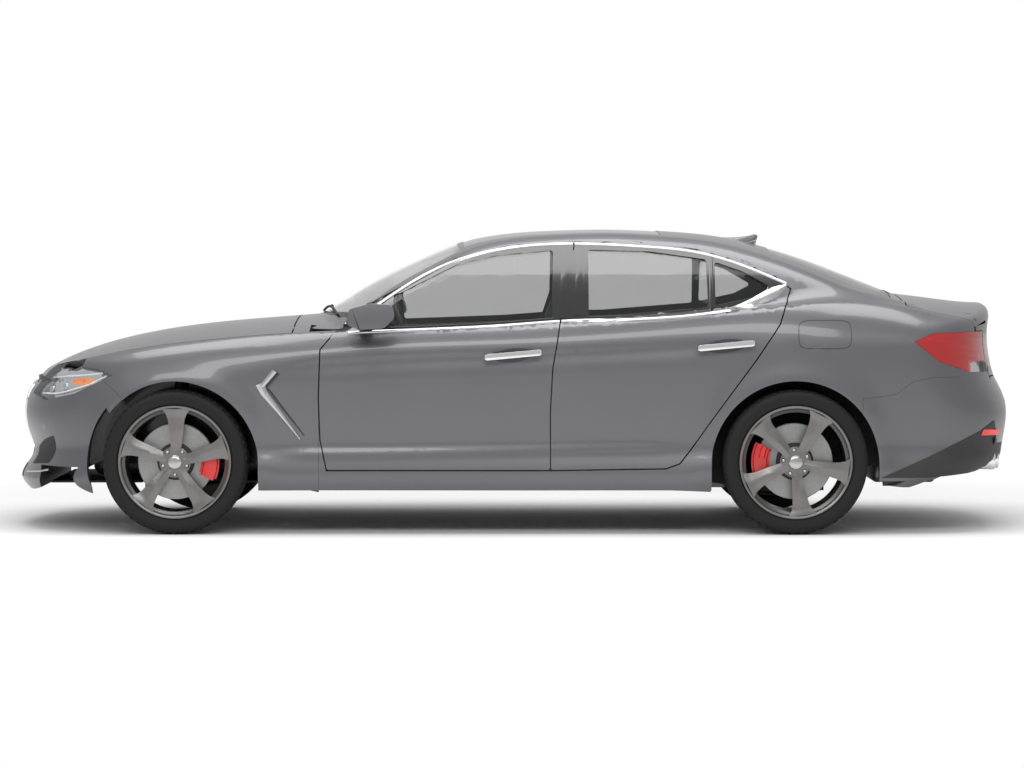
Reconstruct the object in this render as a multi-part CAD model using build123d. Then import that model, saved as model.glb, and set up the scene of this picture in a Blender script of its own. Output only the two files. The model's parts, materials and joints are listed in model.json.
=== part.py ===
from build123d import *
import math
import os

# Sports sedan. Millimetres. +X runs to the tail, +Z up, the nose looks to -X and the
# car's left side is at -Y. The origin is on the ground, midway between nose and tail.

# ---------------------------------------------------------------- driving dimensions
WHEELBASE = 2835
FRONT_AXLE_X = -1540
REAR_AXLE_X = FRONT_AXLE_X + WHEELBASE
FRONT_TRACK = 1595
REAR_TRACK = 1604
WHEEL_Z = 331

FRONT_TYRE_WIDTH = 225
REAR_TYRE_WIDTH = 255
RIM_FLANGE_R = 259
RIM_BARREL_R = 232
DISC_R = 175
DISC_THICK = 28
BOLT_CIRCLE = 114.3
HUB_R = 72

FRONT_ARCH_R = 380
REAR_ARCH_R = 383
ARCH_Z = 320
WELL_EXTRA_R = 24
WELL_FACET = 1.6
FRONT_WELL_Y = 500
REAR_WELL_Y = 640

CORE_LEVEL = 345
CORE_INSET = 34
CORE_TAIL = [(2080, -768), (2175, -700), (2226, -560), (2238, -300)]
SHUT_GAP = 6
GLASS_GAP = 0.3
GLASS_THICK = 6
SKIN_WALL = 30
ROOF_WALL = 34
DOOR_INNER_Y = 826
BELT_SPLIT_Z = 946
LAMP_DEPTH = 80
LID_INNER_X = 2212
LID_HINGE_Y = (610, 650)
LID_HINGE_Z = (1002, 1042)
FRAME_DEPTH = 38
PILLAR_CLEAR = 7
HINGE_POST_TOP_Z = 890

ROCKER_BOTTOM_Z = 200
DOOR_BOTTOM_Z = 292
FLOOR_TOP_Z = 215
CABIN_FRONT_X = -930
CABIN_REAR_X = 1340
WELL_WALL_Y = 612
WELL_TOP_Z = 760
SHELF_TOP_Z = 1012
SHELF_THICK = 26
TRUNK_FRONT_X = 1420
TRUNK_REAR_X = 2190
TRUNK_HALF = 600
TRUNK_FLOOR_Z = 360
REAR_PAN_Z = 345
REAR_RECESS_Z = 312
REAR_FLOOR_Z = 302
FIREWALL_X = -1004
BAY_HALF = 470
FENDER_REAR_X = -884
SILL_INNER_Y = 700

BODY_TOP_Z = 1500
STEERING_WHEEL_AT = (-490, -370, 900.4)
COLUMN_SLOPE = 0.42


# ---------------------------------------------------------------- smooth laws
def spline_law(*knots):
    """Natural cubic through (position, value) knots, straight beyond both ends."""
    at = [knot[0] for knot in knots]
    value = [knot[1] for knot in knots]
    count = len(knots)
    step = [at[i + 1] - at[i] for i in range(count - 1)]
    diagonal = [1.0] * count
    right = [0.0] * count
    load = [0.0] * count
    for i in range(1, count - 1):
        rise = (value[i + 1] - value[i]) / step[i]
        fall = (value[i] - value[i - 1]) / step[i - 1]
        weight = step[i - 1] / diagonal[i - 1]
        diagonal[i] = 2 * (step[i - 1] + step[i]) - weight * right[i - 1]
        right[i] = step[i]
        load[i] = 6 * (rise - fall) - weight * load[i - 1]
    bend = [0.0] * count
    for i in range(count - 2, 0, -1):
        bend[i] = (load[i] - right[i] * bend[i + 1]) / diagonal[i]

    def law(x):
        x_in = min(max(x, at[0]), at[-1])
        i = max(k for k in range(count - 1) if at[k] <= x_in or k == 0)
        size = step[i]
        ahead = at[i + 1] - x_in
        behind = x_in - at[i]
        curve = (bend[i] * ahead**3 + bend[i + 1] * behind**3) / (6 * size)
        curve += (value[i] / size - bend[i] * size / 6) * ahead
        curve += (value[i + 1] / size - bend[i + 1] * size / 6) * behind
        if x == x_in:
            return curve
        slope = (value[i + 1] - value[i]) / size
        side = -(2 * bend[i] + bend[i + 1]) if x < x_in else (bend[i] + 2 * bend[i + 1])
        return curve + (slope + side * size / 6) * (x - x_in)

    return law


# Profiles of the nose and tail over height, and the side's half width over height.
nose_x = spline_law(
    (160, -2285), (223, -2336), (339, -2283), (460, -2306), (555, -2321), (620, -2312),
    (699, -2267), (745, -2205), (850, -2040), (1000, -1760), (1150, -1480),
)
tail_x = spline_law(
    (160, 2060), (240, 2140), (300, 2282), (365, 2325), (463, 2341), (579, 2342),
    (640, 2320), (700, 2290), (800, 2262), (900, 2252), (1044, 2270), (1150, 2280),
)
side_y = spline_law(
    (150, 838), (200, 866), (250, 886), (300, 887), (345, 878), (390, 868), (450, 873),
    (550, 887), (650, 896), (750, 902), (850, 904), (950, 898), (1050, 880), (1150, 850),
)
# The body narrows in plan towards both ends.
taper_y = spline_law(
    (-2340, -95), (-1900, -42), (-1540, -10), (-800, -4), (0, 0), (900, 0), (1290, 4),
    (1800, -24), (2340, -85),
)
NOSE_CORNER = 520
TAIL_CORNER = 430
NOSE_POWER = 2.3
TAIL_POWER = 2.6
WATERLINES = tuple(range(150, 1151, 50))

# Upper surfaces: centre line, belt line (place and height) and shoulder line.
centre_z = spline_law(
    (-2340, 655), (-2267, 706), (-2219, 736), (-1979, 843), (-1740, 905), (-1498, 944),
    (-1018, 987), (-500, 1030), (300, 1085), (1000, 1110), (1500, 1105), (1806, 1092),
    (2060, 1062), (2180, 1050), (2340, 1052),
)
belt_y = spline_law(
    (-2340, 560), (-2075, 690), (-1740, 765), (-1429, 790), (-1018, 815), (-700, 838),
    (0, 850), (900, 848), (1290, 832), (1770, 735), (2093, 690), (2340, 640),
)
belt_z = spline_law(
    (-2340, 560), (-2190, 690), (-2075, 765), (-1933, 805), (-1740, 843), (-1429, 884),
    (-1018, 918), (-535, 930), (220, 962), (920, 1015), (1270, 1045), (1500, 1056),
    (1770, 1046), (1950, 1008), (2093, 980), (2340, 950),
)
shoulder_z = spline_law(
    (-2340, 520), (-2190, 600), (-1933, 695), (-1740, 745), (-1353, 789), (-875, 825),
    (-535, 846), (219, 875), (920, 915), (1312, 937), (1700, 935), (2000, 915),
    (2200, 885), (2340, 850),
)
SHOULDER_POWER = 1.55

# Greenhouse: roof line on the centre, lean of the side glass, wrap of the screens.
roof_z = spline_law(
    (-1100, 880), (-922, 990), (-826, 1049), (-634, 1165), (-442, 1256), (-250, 1335),
    (-58, 1376), (231, 1396), (423, 1400), (711, 1390), (999, 1361), (1191, 1318),
    (1383, 1260), (1575, 1188), (1767, 1112), (2000, 1015),
)
rail_y = spline_law(
    (-1100, 850), (-800, 846), (-300, 850), (300, 852), (900, 848), (1290, 832), (1800, 735),
    (2000, 700),
)
SIDE_LEAN = 0.46
SIDE_BARREL = 0.0005
SCREEN_WRAP = 0.00021
SCREEN_PIVOT_X = 420
ROOF_CROWN = 36
ROOF_HALF = 600

# ---------------------------------------------------------------- side outlines (x, z)
DOOR_FRONT = [(-848, DOOR_BOTTOM_Z), (-878, 430), (-884, 620), (-876, 845), (-724, 1010)]
SPLIT_TOP = (290, 1336)
DOOR_SPLIT = [(262, 1160), (224, 974), (186, 760), (175, 560), (176, DOOR_BOTTOM_Z)]
FRAME_FRONT = [(-262, 1264), (0, 1322)]
FRAME_REAR = [(600, 1334), (850, 1302), (1060, 1244), (1210, 1178), (1282, 1120)]
DOOR_REAR = [(1224, 960), (1118, 803), (895, 496), (818, 387), (767, 323), (703, 300)]
FRONT_WINDOW = [(-540, 955), (-545, 1095), (-253, 1232), (-60, 1276), (190, 1298), (184, 982)]
REAR_WINDOW = [(352, 992), (352, 1300), (640, 1292), (896, 1256), (900, 1036)]
QUARTER_WINDOW = [(934, 1044), (934, 1246), (1060, 1202), (1190, 1128), (1140, 1090)]
WINDOW_CORNER = 12


# ---------------------------------------------------------------- skin of the car
def half_width(x, z, inset):
    """Half width of the body side."""
    return side_y(z) + taper_y(x) - inset


def plan_outline(z, inset, end_points=6, side_points=8):
    """Left half of the waterline at one height, from nose centre to tail centre."""
    nose = nose_x(z) + inset
    tail = tail_x(z) - inset
    points = []
    for i in range(end_points):
        angle = math.pi / 2 * i / end_points
        x = nose + NOSE_CORNER * (1 - math.cos(angle) ** (2 / NOSE_POWER))
        points.append((x, half_width(x, z, inset) * math.sin(angle) ** (2 / NOSE_POWER)))
    start = nose + NOSE_CORNER
    length = tail - TAIL_CORNER - start
    for i in range(side_points + 1):
        x = start + length * i / side_points
        points.append((x, half_width(x, z, inset)))
    for i in range(end_points - 1, -1, -1):
        angle = math.pi / 2 * i / end_points
        x = tail - TAIL_CORNER * (1 - math.cos(angle) ** (2 / TAIL_POWER))
        points.append((x, half_width(x, z, inset) * math.sin(angle) ** (2 / TAIL_POWER)))
    return points


def waterline(z, inset=0):
    """Whole waterline: down the left side and back up the right."""
    half = plan_outline(z, inset)
    left = [Vector(x, -y, z) for x, y in half]
    return left + [Vector(x, y, z) for x, y in reversed(half[1:-1])]


def chord_steps(points):
    """Share of the whole loop reached at each point, for splines with matching knots."""
    reach = [0.0]
    for here, there in zip(points, points[1:] + points[:1]):
        reach.append(reach[-1] + (there - here).length)
    return [length / reach[-1] for length in reach]


def side_loft():
    """Sides, nose and tail as one loft through level sections."""
    steps = chord_steps(waterline(WATERLINES[len(WATERLINES) // 2]))
    sections = []
    for z in WATERLINES:
        sections.append(Wire([Edge.make_spline(waterline(z), periodic=True, parameters=steps)]))
    return Solid.make_loft(sections)


def even_spline(points):
    """Spline through points at even steps, so that the sections of a loft match."""
    steps = [i / (len(points) - 1) for i in range(len(points))]
    return Edge.make_spline(points, parameters=steps)


def upper_z(x, y):
    """Hood, door shoulders and rear deck as a height over the plan."""
    reach = abs(y)
    edge = belt_y(x)
    drop = centre_z(x) - belt_z(x)
    if reach <= edge:
        return centre_z(x) - drop * (reach / edge) ** 2
    slope = 2 * drop / edge
    span = half_width(x, shoulder_z(x), 0) - edge
    over = reach - edge
    fall = belt_z(x) - shoulder_z(x) - slope * span
    return belt_z(x) - slope * over - fall * (over / span) ** SHOULDER_POWER


def canopy_z(x, y):
    """Windscreen, roof and rear screen as a height over the plan."""
    wrap = SCREEN_WRAP * y * y
    shift = math.tanh((SCREEN_PIVOT_X - x) / 700)
    return roof_z(x - wrap * shift) - ROOF_CROWN * (abs(y) / ROOF_HALF) ** 2.4


def height_prism(height, stations, y_half, drop, base_z, rows=12):
    """Solid below a height law, level at its lower end."""
    sections = []
    for x in stations:
        top = []
        for k in range(rows + 1):
            y = -y_half + 2 * y_half * k / rows
            top.append(Vector(x, y, height(x, y) - drop))
        low = [Vector(x, y_half, base_z), Vector(x, -y_half, base_z)]
        lines = [Edge.make_line(top[-1], low[0]), Edge.make_line(low[0], low[1])]
        lines.append(Edge.make_line(low[1], top[0]))
        sections.append(Wire([even_spline(top)] + lines))
    return Solid.make_loft(sections)


def stations(first, last, count):
    """Even stations along the car."""
    return [first + (last - first) * i / count for i in range(count + 1)]


def upper_space(inset=0):
    """Everything below the hood, the shoulders and the rear deck."""
    reach = 2380 + inset
    return height_prism(upper_z, stations(-reach, reach, 20), 980 + inset, inset, 100 - inset)


def lower_body():
    """Body below the glass."""
    return side_loft() & upper_space()


def core_outline(inset):
    """Half plan of the space inside the skin, as straight runs."""
    points = [(x, -y) for x, y in plan_outline(CORE_LEVEL, inset, 5, 9) if x < CORE_TAIL[0][0] - 60]
    return points + [(x - inset + CORE_INSET, y + inset - CORE_INSET) for x, y in CORE_TAIL]


def body_core(inset, roof_drop):
    """Upright space inside the skin, below the hood, shoulders and deck."""
    half = core_outline(inset)[1:]
    prism = plan_prism(half + [(x, -y) for x, y in reversed(half)], 0, BODY_TOP_Z)
    return prism & upper_space(roof_drop)


def glass_y(x, z):
    """Half width of the greenhouse at its side glass."""
    rise = z - 940
    return rail_y(x) - SIDE_LEAN * rise - SIDE_BARREL * rise * rise


def glass_sides(inset=0):
    """Glass house between its side planes, with no top."""
    sections = []
    for z in range(840, 1441, 120):
        left = [Vector(x, inset - glass_y(x, z), z) for x in stations(-1150, 1950, 10)]
        right = [Vector(v.X, -v.Y, z) for v in reversed(left)]
        back = Edge.make_line(left[-1], right[0])
        front = Edge.make_line(right[-1], left[0])
        sections.append(Wire([even_spline(left), back, even_spline(right), front]))
    return Solid.make_loft(sections)


def greenhouse(inset=0):
    """Glass house above the belt."""
    spread = inset / 2
    top = height_prism(canopy_z, stations(-1100 - spread, 1900 + spread, 14), 900 + spread, inset, 700)
    return glass_sides(inset) & top


# ---------------------------------------------------------------- cutting tools
def side_prism(outline, y_from, y_to, grow=0, corner=0):
    """Prism across the car from an outline in the side view."""
    wire = Wire.make_polygon([Vector(x, y_from, z) for x, z in outline], close=True)
    if grow:
        wire = wire.offset_2d(grow, kind=Kind.INTERSECTION)
    face = Face(wire)
    if corner:
        face = face.fillet_2d(corner, face.vertices())
    return Solid.extrude(face, Vector(0, y_to - y_from, 0))


def plan_prism(outline, z_from, z_to, grow=0):
    """Upright prism from an outline in the plan."""
    wire = Wire.make_polygon([Vector(x, y, z_from) for x, y in outline], close=True)
    if grow:
        wire = wire.offset_2d(grow, kind=Kind.INTERSECTION)
    return Solid.extrude(Face(wire), Vector(0, 0, z_to - z_from))


def front_prism(outline, x_from, x_to, grow=0):
    """Prism along the car from an outline in the front view."""
    wire = Wire.make_polygon([Vector(x_from, y, z) for y, z in outline], close=True)
    if grow:
        wire = wire.offset_2d(grow, kind=Kind.INTERSECTION)
    return Solid.extrude(Face(wire), Vector(x_to - x_from, 0, 0))


def block(x_from, x_to, y_from, y_to, z_from, z_to):
    """Box between two corners."""
    size = (x_to - x_from, y_to - y_from, z_to - z_from)
    box = Solid.make_box(*size)
    return box.moved(Location((x_from, y_from, z_from)))


def cross_cylinder(radius, x, z, y_from, y_to):
    """Cylinder along Y."""
    plane = Plane(origin=(x, y_from, z), x_dir=(1, 0, 0), z_dir=(0, 1 if y_to > y_from else -1, 0))
    return Solid.make_cylinder(radius, abs(y_to - y_from), plane)


def cut(shape, *groups):
    """Take the groups of tools off a shape, one group after the other."""
    for tools in groups:
        shape = shape - tools
    return shape


def both(shape):
    """A piece of the left side with its mirror twin on the right."""
    return [shape, shape.mirror(Plane.XZ)]


def mirrored_outline(half):
    """Whole plan outline from the points of its -Y half."""
    return half + [(x, -y) for x, y in reversed(half)]


def mirrored_front(half):
    """Whole front outline from the points of its -Y half."""
    return half + [(-y, z) for y, z in reversed(half)]


# ---------------------------------------------------------------- outlines of the panels
WIDE = 1000
HALF_GAP = SHUT_GAP / 2
FRONT_DOOR = [*DOOR_FRONT, *FRAME_FRONT, SPLIT_TOP, *DOOR_SPLIT]
REAR_DOOR = [*reversed(DOOR_SPLIT), SPLIT_TOP, *FRAME_REAR, *DOOR_REAR]
HOOD_HALF = [
    (-1008, -812), (-1429, -788), (-1740, -763), (-2075, -698), (-2180, -610), (-2222, -480),
    (-2246, -300), (-2256, -120),
]
FENDER_REAR = [(FENDER_REAR_X, 150), (FENDER_REAR_X, 700), (-800, 935), (-800, 1100)]
LID_FRONT_X = 1816
LID_HALF = [(LID_FRONT_X, -705), (1950, -690), (2093, -676), (2400, -640)]
LID_TOP_Z = 925
LID_FACE_HALF = 552
LID_LOW_Z = 712
BUMPER_FRONT = [
    (-2500, 100), (-2500, 715), (-2238, 715), (-2238, 690), (-1870, 702), (-1782, 626), (-1782, 100),
]
BUMPER_REAR = [
    (2500, 100), (2500, LID_LOW_Z - HALF_GAP), (2262, LID_LOW_Z - HALF_GAP), (2180, 722), (1920, 716),
    (1836, 700), (1755, 640), (1600, 620), (1600, 100),
]
HEADLAMP = [(-2400, 696), (-2170, 604), (-2010, 640), (-1832, 728), (-1900, 752), (-2400, 758)]
HEADLAMP_INNER_Y = 455
TAIL_LAMP_TOP_Z = LID_TOP_Z - 2
TAIL_LAMP = [
    (1836, 880), (1930, TAIL_LAMP_TOP_Z), (2400, TAIL_LAMP_TOP_Z), (2400, 730), (2100, 738), (1950, 790),
]
LAMP_INNER_Y = 560
LID_LAMP_INNER_Y = 330
LID_LAMP_BACK_X = LID_INNER_X + 12
WINDSCREEN_HALF = [
    (-262, -1), (-256, -300), (-236, -535), (-745, -705), (-800, -600), (-862, -400), (-893, -200)]
SUNROOF_HALF = [(-238, -1), (-226, -470), (690, -470)]
REAR_SCREEN_HALF = [(1205, -1), (1205, -470), (1762, -590), (1778, -300)]
SCREENS = []
for screen in (WINDSCREEN_HALF, SUNROOF_HALF, REAR_SCREEN_HALF):
    SCREENS.append(screen + [(x, -y) for x, y in reversed(screen)])
APRON_DROP = 60
PILLAR = [(140, 216), (335, 216), (335, 950), (322, 1330), (262, 1330), (140, 950)]
SPOKE_SET = 14
SPOKE_THICK = 30
DISC_V = -24
PIN_INSET = 60
PIN_LOW_Z = 205
PIN_HIGH_Z = 462
ARM_THICK = 30
FRONT_DAMPER_Y = -612
DAMPER_R = 24
COWL_HALF = 806
DIFFUSER_HALF = 640
DIFFUSER_TOP_Z = 400
GRILLE_HALF = [(-150, 672), (-300, 662), (-352, 600), (-300, 480), (-190, 372), (-90, 350)]
GRILLE_LOW_Z = 350
GRILLE_HIGH_Z = 660
GRILLE_PITCH = 34
GRILLE_BAR = 9


def wheel_wells():
    """Room for the four wheels inside the body, with the lips left narrower."""
    wells = []
    for x, arch, inner in (
        (FRONT_AXLE_X, FRONT_ARCH_R, FRONT_WELL_Y),
        (REAR_AXLE_X, REAR_ARCH_R, REAR_WELL_Y),
    ):
        lip = cross_cylinder(arch, x, ARCH_Z, -WIDE, -inner)
        well = cross_cylinder(arch + WELL_EXTRA_R, x, ARCH_Z, -850, -inner)
        wells += both(lip) + both(well)
        below = block(x - arch, x + arch, -WIDE, -inner, 0, ARCH_Z)
        wells += both(below)
    return wells


# ---------------------------------------------------------------- painted body
def underside():
    """What the road side of the body leaves open."""
    return side_prism(
        [(-2500, 0), (-2500, 205), (-2343, 205), (-1925, 181), (-1300, ROCKER_BOTTOM_Z),
         (1600, ROCKER_BOTTOM_Z), (1690, 243), (2500, 246), (2500, 0)], -WIDE, WIDE)


def build_skin():
    """Outer form, the same moved in by the skin's thickness, and the space inside."""
    outer = (lower_body() + greenhouse()) - underside()
    inner = body_core(CORE_INSET, SKIN_WALL)
    return outer, inner


def cabin_space():
    """Blocks that together make the hollow of the cabin, inside doors, pillars and roof."""
    wide = DOOR_INNER_Y
    sill_z = DOOR_BOTTOM_Z - HALF_GAP
    glass_house = greenhouse(ROOF_WALL)
    return [
        block(CABIN_FRONT_X, 850, -wide, wide, sill_z, 950),
        block(CABIN_FRONT_X, 850, -SILL_INNER_Y, SILL_INNER_Y, FLOOR_TOP_Z, sill_z + 1),
        block(849, CABIN_REAR_X, -WELL_WALL_Y, WELL_WALL_Y, REAR_PAN_Z, 950),
        block(849, CABIN_REAR_X, -wide, wide, WELL_TOP_Z, 950),
        glass_house & block(-1000, CABIN_REAR_X, -WIDE, WIDE, 930, BODY_TOP_Z),
        glass_house & block(CABIN_REAR_X - 5, 2000, -WIDE, WIDE, SHELF_TOP_Z, BODY_TOP_Z),
    ]


def lid_solid(grow):
    """Space of the trunk lid: the deck, and the face between the tail lamps."""
    outline = mirrored_outline(list(reversed(LID_HALF)))
    top = plan_prism(outline, LID_TOP_Z - grow, BODY_TOP_Z, grow=grow)
    half = LID_FACE_HALF + grow
    return top + block(2060, 2420, -half, half, LID_LOW_Z - grow, LID_TOP_Z + 9)


def door_solid(outer, cabin, outline, windows, corner):
    """One left door: its whole thickness, its frame and its window openings."""
    blank = side_prism(outline, -WIDE, -300, grow=-HALF_GAP, corner=corner)
    panes = [side_prism(window, -WIDE, -300, corner=WINDOW_CORNER) for window in windows]
    deep = block(CABIN_FRONT_X, CABIN_REAR_X, -DOOR_INNER_Y, 0, 0, BELT_SPLIT_Z)
    return (outer & blank) - [*cabin, deep, glass_sides(FRAME_DEPTH), *panes]


def door_glass(windows):
    """Panes of one left door, set in from the skin."""
    slab = greenhouse(4) - greenhouse(4 + GLASS_THICK)
    panes = []
    for window in windows:
        panes.append(slab & side_prism(window, -WIDE, -300, grow=-GLASS_GAP, corner=WINDOW_CORNER))
    return panes


WHEELS = {
    "front_left": (FRONT_AXLE_X, FRONT_TRACK, FRONT_TYRE_WIDTH, -1),
    "front_right": (FRONT_AXLE_X, FRONT_TRACK, FRONT_TYRE_WIDTH, 1),
    "rear_left": (REAR_AXLE_X, REAR_TRACK, REAR_TYRE_WIDTH, -1),
    "rear_right": (REAR_AXLE_X, REAR_TRACK, REAR_TYRE_WIDTH, 1),
}
nodes = {}
def keep(name, *pieces):
    """Name the solids of one node."""
    solids = []
    for piece in pieces:
        if isinstance(piece, (list, tuple)):
            for item in piece:
                solids += item.solids()
        else:
            solids += piece.solids()
    solids = [solid for solid in solids if solid.volume > 50]
    nodes[name] = solids[0] if len(solids) == 1 else Compound(solids)
    nodes[name].label = name


def ring(profile, x, y, z):
    """Body of revolution about an axle from (radius, offset along Y) points."""
    wire = Wire.make_polygon([Vector(r, v, 0) for r, v in profile], close=True)
    solid = Solid.revolve(Face(wire), 360, Axis.Y)
    return solid.moved(Location((x, y, z)))


def tyre(width, x, y):
    """Tyre with its beads behind the rim flanges."""
    half = width / 2
    side = [
        (RIM_BARREL_R + 14, half - 20), (RIM_FLANGE_R + 1, half - 20), (302, half), (WHEEL_Z, half - 38)]
    return ring(side + [(r, -v) for r, v in reversed(side)], x, y, WHEEL_Z)


def spoke(width):
    """One swept blade of the rim, standing up from the hub, outer face at -Y."""
    face_v = -width / 2 + SPOKE_SET
    outline = [(-34, 46), (-27, 120), (-40, 180), (-62, RIM_BARREL_R - 5), (-4, RIM_BARREL_R - 2),
               (8, 180), (20, 120), (34, 46)]
    wire = Wire.make_polygon([Vector(a, face_v, r) for a, r in outline], close=True)
    return Solid.extrude(Face(wire), Vector(0, SPOKE_THICK, 0))


def rim(width, x, y, side):
    """Alloy rim with five blades, its hub and the brake disc bolted behind it."""
    half = width / 2
    barrel = ring(
        [(RIM_BARREL_R - 8, half - 9), (RIM_FLANGE_R, half - 9), (RIM_FLANGE_R, half - 19),
         (RIM_BARREL_R + 13, half - 19), (RIM_BARREL_R + 13, 19 - half), (RIM_FLANGE_R, 19 - half),
         (RIM_FLANGE_R, 9 - half), (RIM_BARREL_R - 8, 9 - half)], 0, 0, 0)
    face_v = -half + SPOKE_SET + 4
    disc_back = DISC_V + DISC_THICK
    profile = [(0, face_v), (HUB_R, face_v), (HUB_R, DISC_V), (DISC_R, DISC_V), (DISC_R, disc_back),
               (0, disc_back)]
    centre = ring(profile, 0, 0, 0)
    wheel = barrel + centre
    blades = [spoke(width).rotate(Axis.Y, 72 * i) for i in range(5)]
    wheel = wheel + blades
    if side > 0:
        wheel = wheel.mirror(Plane.XZ)
    return wheel.moved(Location((x, y, WHEEL_Z)))


def caliper(x, y, towards):
    """Brake caliper straddling the disc of a left wheel."""
    shell_ring = ring(
        [(118, DISC_V - 30), (DISC_R + 26, DISC_V - 30), (DISC_R + 26, DISC_V + DISC_THICK + 30),
         (118, DISC_V + DISC_THICK + 30)], x, y, WHEEL_Z)
    groove = ring(
        [(100, DISC_V - 5), (DISC_R + 6, DISC_V - 5), (DISC_R + 6, DISC_V + DISC_THICK + 5),
         (100, DISC_V + DISC_THICK + 5)], x, y, WHEEL_Z)
    wedge = side_prism(
        [(x, WHEEL_Z), (x + towards * 300, WHEEL_Z + 150), (x + towards * 300, WHEEL_Z - 130)], -WIDE, 0)
    return (shell_ring - groove) & wedge


def upright(x, y, towards, pin_y):
    """Carrier of a left wheel's bearing with its caliper and kingpin bosses."""
    carrier = cross_cylinder(52, x, WHEEL_Z, y + DISC_V + DISC_THICK + GLASS_GAP, y + 96)
    stem = block(x - 28, x + 28, pin_y - 16, pin_y + 16, PIN_LOW_Z, PIN_HIGH_Z)
    arm_z = WHEEL_Z - 12
    lug_x = sorted((x + towards * 20, x + towards * 170))
    disc_back = y + DISC_V + DISC_THICK
    lug = block(*lug_x, disc_back + 8, disc_back + 28, arm_z - 20, arm_z + 20)
    return carrier + [stem, lug, caliper(x, y, towards)]


def links(x, y_pin, y_frame, half, damper_y, damper_top, gap):
    """Lower and upper arms of a left wheel and its damper."""
    lower = plan_prism([(x - 26, y_pin), (x + 26, y_pin), (x + half, y_frame), (x + half - 50, y_frame),
                        (x, y_frame - 120), (x - half + 50, y_frame), (x - half, y_frame)],
                       PIN_LOW_Z - ARM_THICK - gap, PIN_LOW_Z - gap)
    base = PIN_LOW_Z - gap - 10
    damper = Solid.make_cylinder(DAMPER_R, damper_top - base, Plane((x, damper_y, base)))
    return [lower, damper]


def upper_arm(x, y_pin, y_wall, gap):
    """Upper arm of a left wheel, from its kingpin to the wall of the well."""
    low = PIN_HIGH_Z + gap
    outline = [(x - 22, y_pin), (x + 22, y_pin), (x + 90, y_wall), (x - 90, y_wall)]
    return plan_prism(outline, low, low + ARM_THICK - 8)


def steering_plane():
    """Plane of the steering wheel, with its normal along the column towards the driver."""
    return Plane(origin=STEERING_WHEEL_AT, x_dir=(0, 1, 0), z_dir=(1, 0, COLUMN_SLOPE))


def steering_wheel():
    """Rim, three spokes and the boss, turned to face the driver."""
    bar = 14
    profile = [(178 + bar * math.cos(a), bar * math.sin(a)) for a in (math.pi / 4 * k for k in range(8))]
    wire = Wire.make_polygon([Vector(r, 0, v) for r, v in profile], close=True)
    wheel = Solid.revolve(Face(wire), 360, Axis.Z)
    boss = Solid.make_cylinder(58, 46, Plane((0, 0, -34)))
    spokes = [block(-172, 172, -20, 20, -12, 6), block(-18, 18, -172, 0, -12, 6)]
    return (wheel + [boss, *spokes]).moved(steering_plane().location)


def seat(y, half, x, back_top, floor):
    """Closed form of one seat: cushion, back and headrest."""
    cushion = side_prism(
        [(x - 30, floor), (x - 30, 470), (x - 10, 505), (x + 20, 520), (x + 480, 470), (x + 500, floor)],
        y - half, y + half)
    back = side_prism(
        [(x + 400, 440), (x + 520, 440), (x + 680, back_top), (x + 580, back_top), (x + 400, 560)],
        y - half + 10, y + half - 10)
    head = side_prism(
        [(x + 592, back_top - 20), (x + 672, back_top - 20), (x + 700, back_top + 160),
         (x + 690, back_top + 180), (x + 626, back_top + 180), (x + 610, back_top + 150)],
        y - 130, y + 130)
    return cushion + [back, head]


def mirror_left():
    """Door mirror on its foot."""
    head = side_prism(
        [(-752, 962), (-735, 1032), (-640, 1056), (-545, 1050), (-532, 990), (-580, 945), (-690, 938)],
                      -1052, -902, corner=18)
    foot = block(-700, -640, -910, -838, 940, 975)
    return head + foot


def handle(x_from, x_to, z, skin_y):
    """Pull handle on two feet, with its grip clear of the skin."""
    rise = 0.085
    middle = (x_from + x_to) / 2

    def bar(x):
        return z + rise * (x - middle)

    outline = [(x_from, bar(x_from) - 9), (x_from, bar(x_from) + 9), (x_from + 10, bar(x_from) + 14),
               (x_to - 10, bar(x_to) + 14), (x_to, bar(x_to) + 9), (x_to, bar(x_to) - 9),
               (x_to - 10, bar(x_to) - 14), (x_from + 10, bar(x_from) - 14)]
    grip = side_prism(outline, -skin_y - 46, -skin_y - 28)
    feet = []
    for x in (x_from + 20, x_to - 20):
        feet.append(block(x - 16, x + 16, -skin_y - 30, -skin_y + 12, bar(x) - 10, bar(x) + 10))
    return grip + feet


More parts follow.
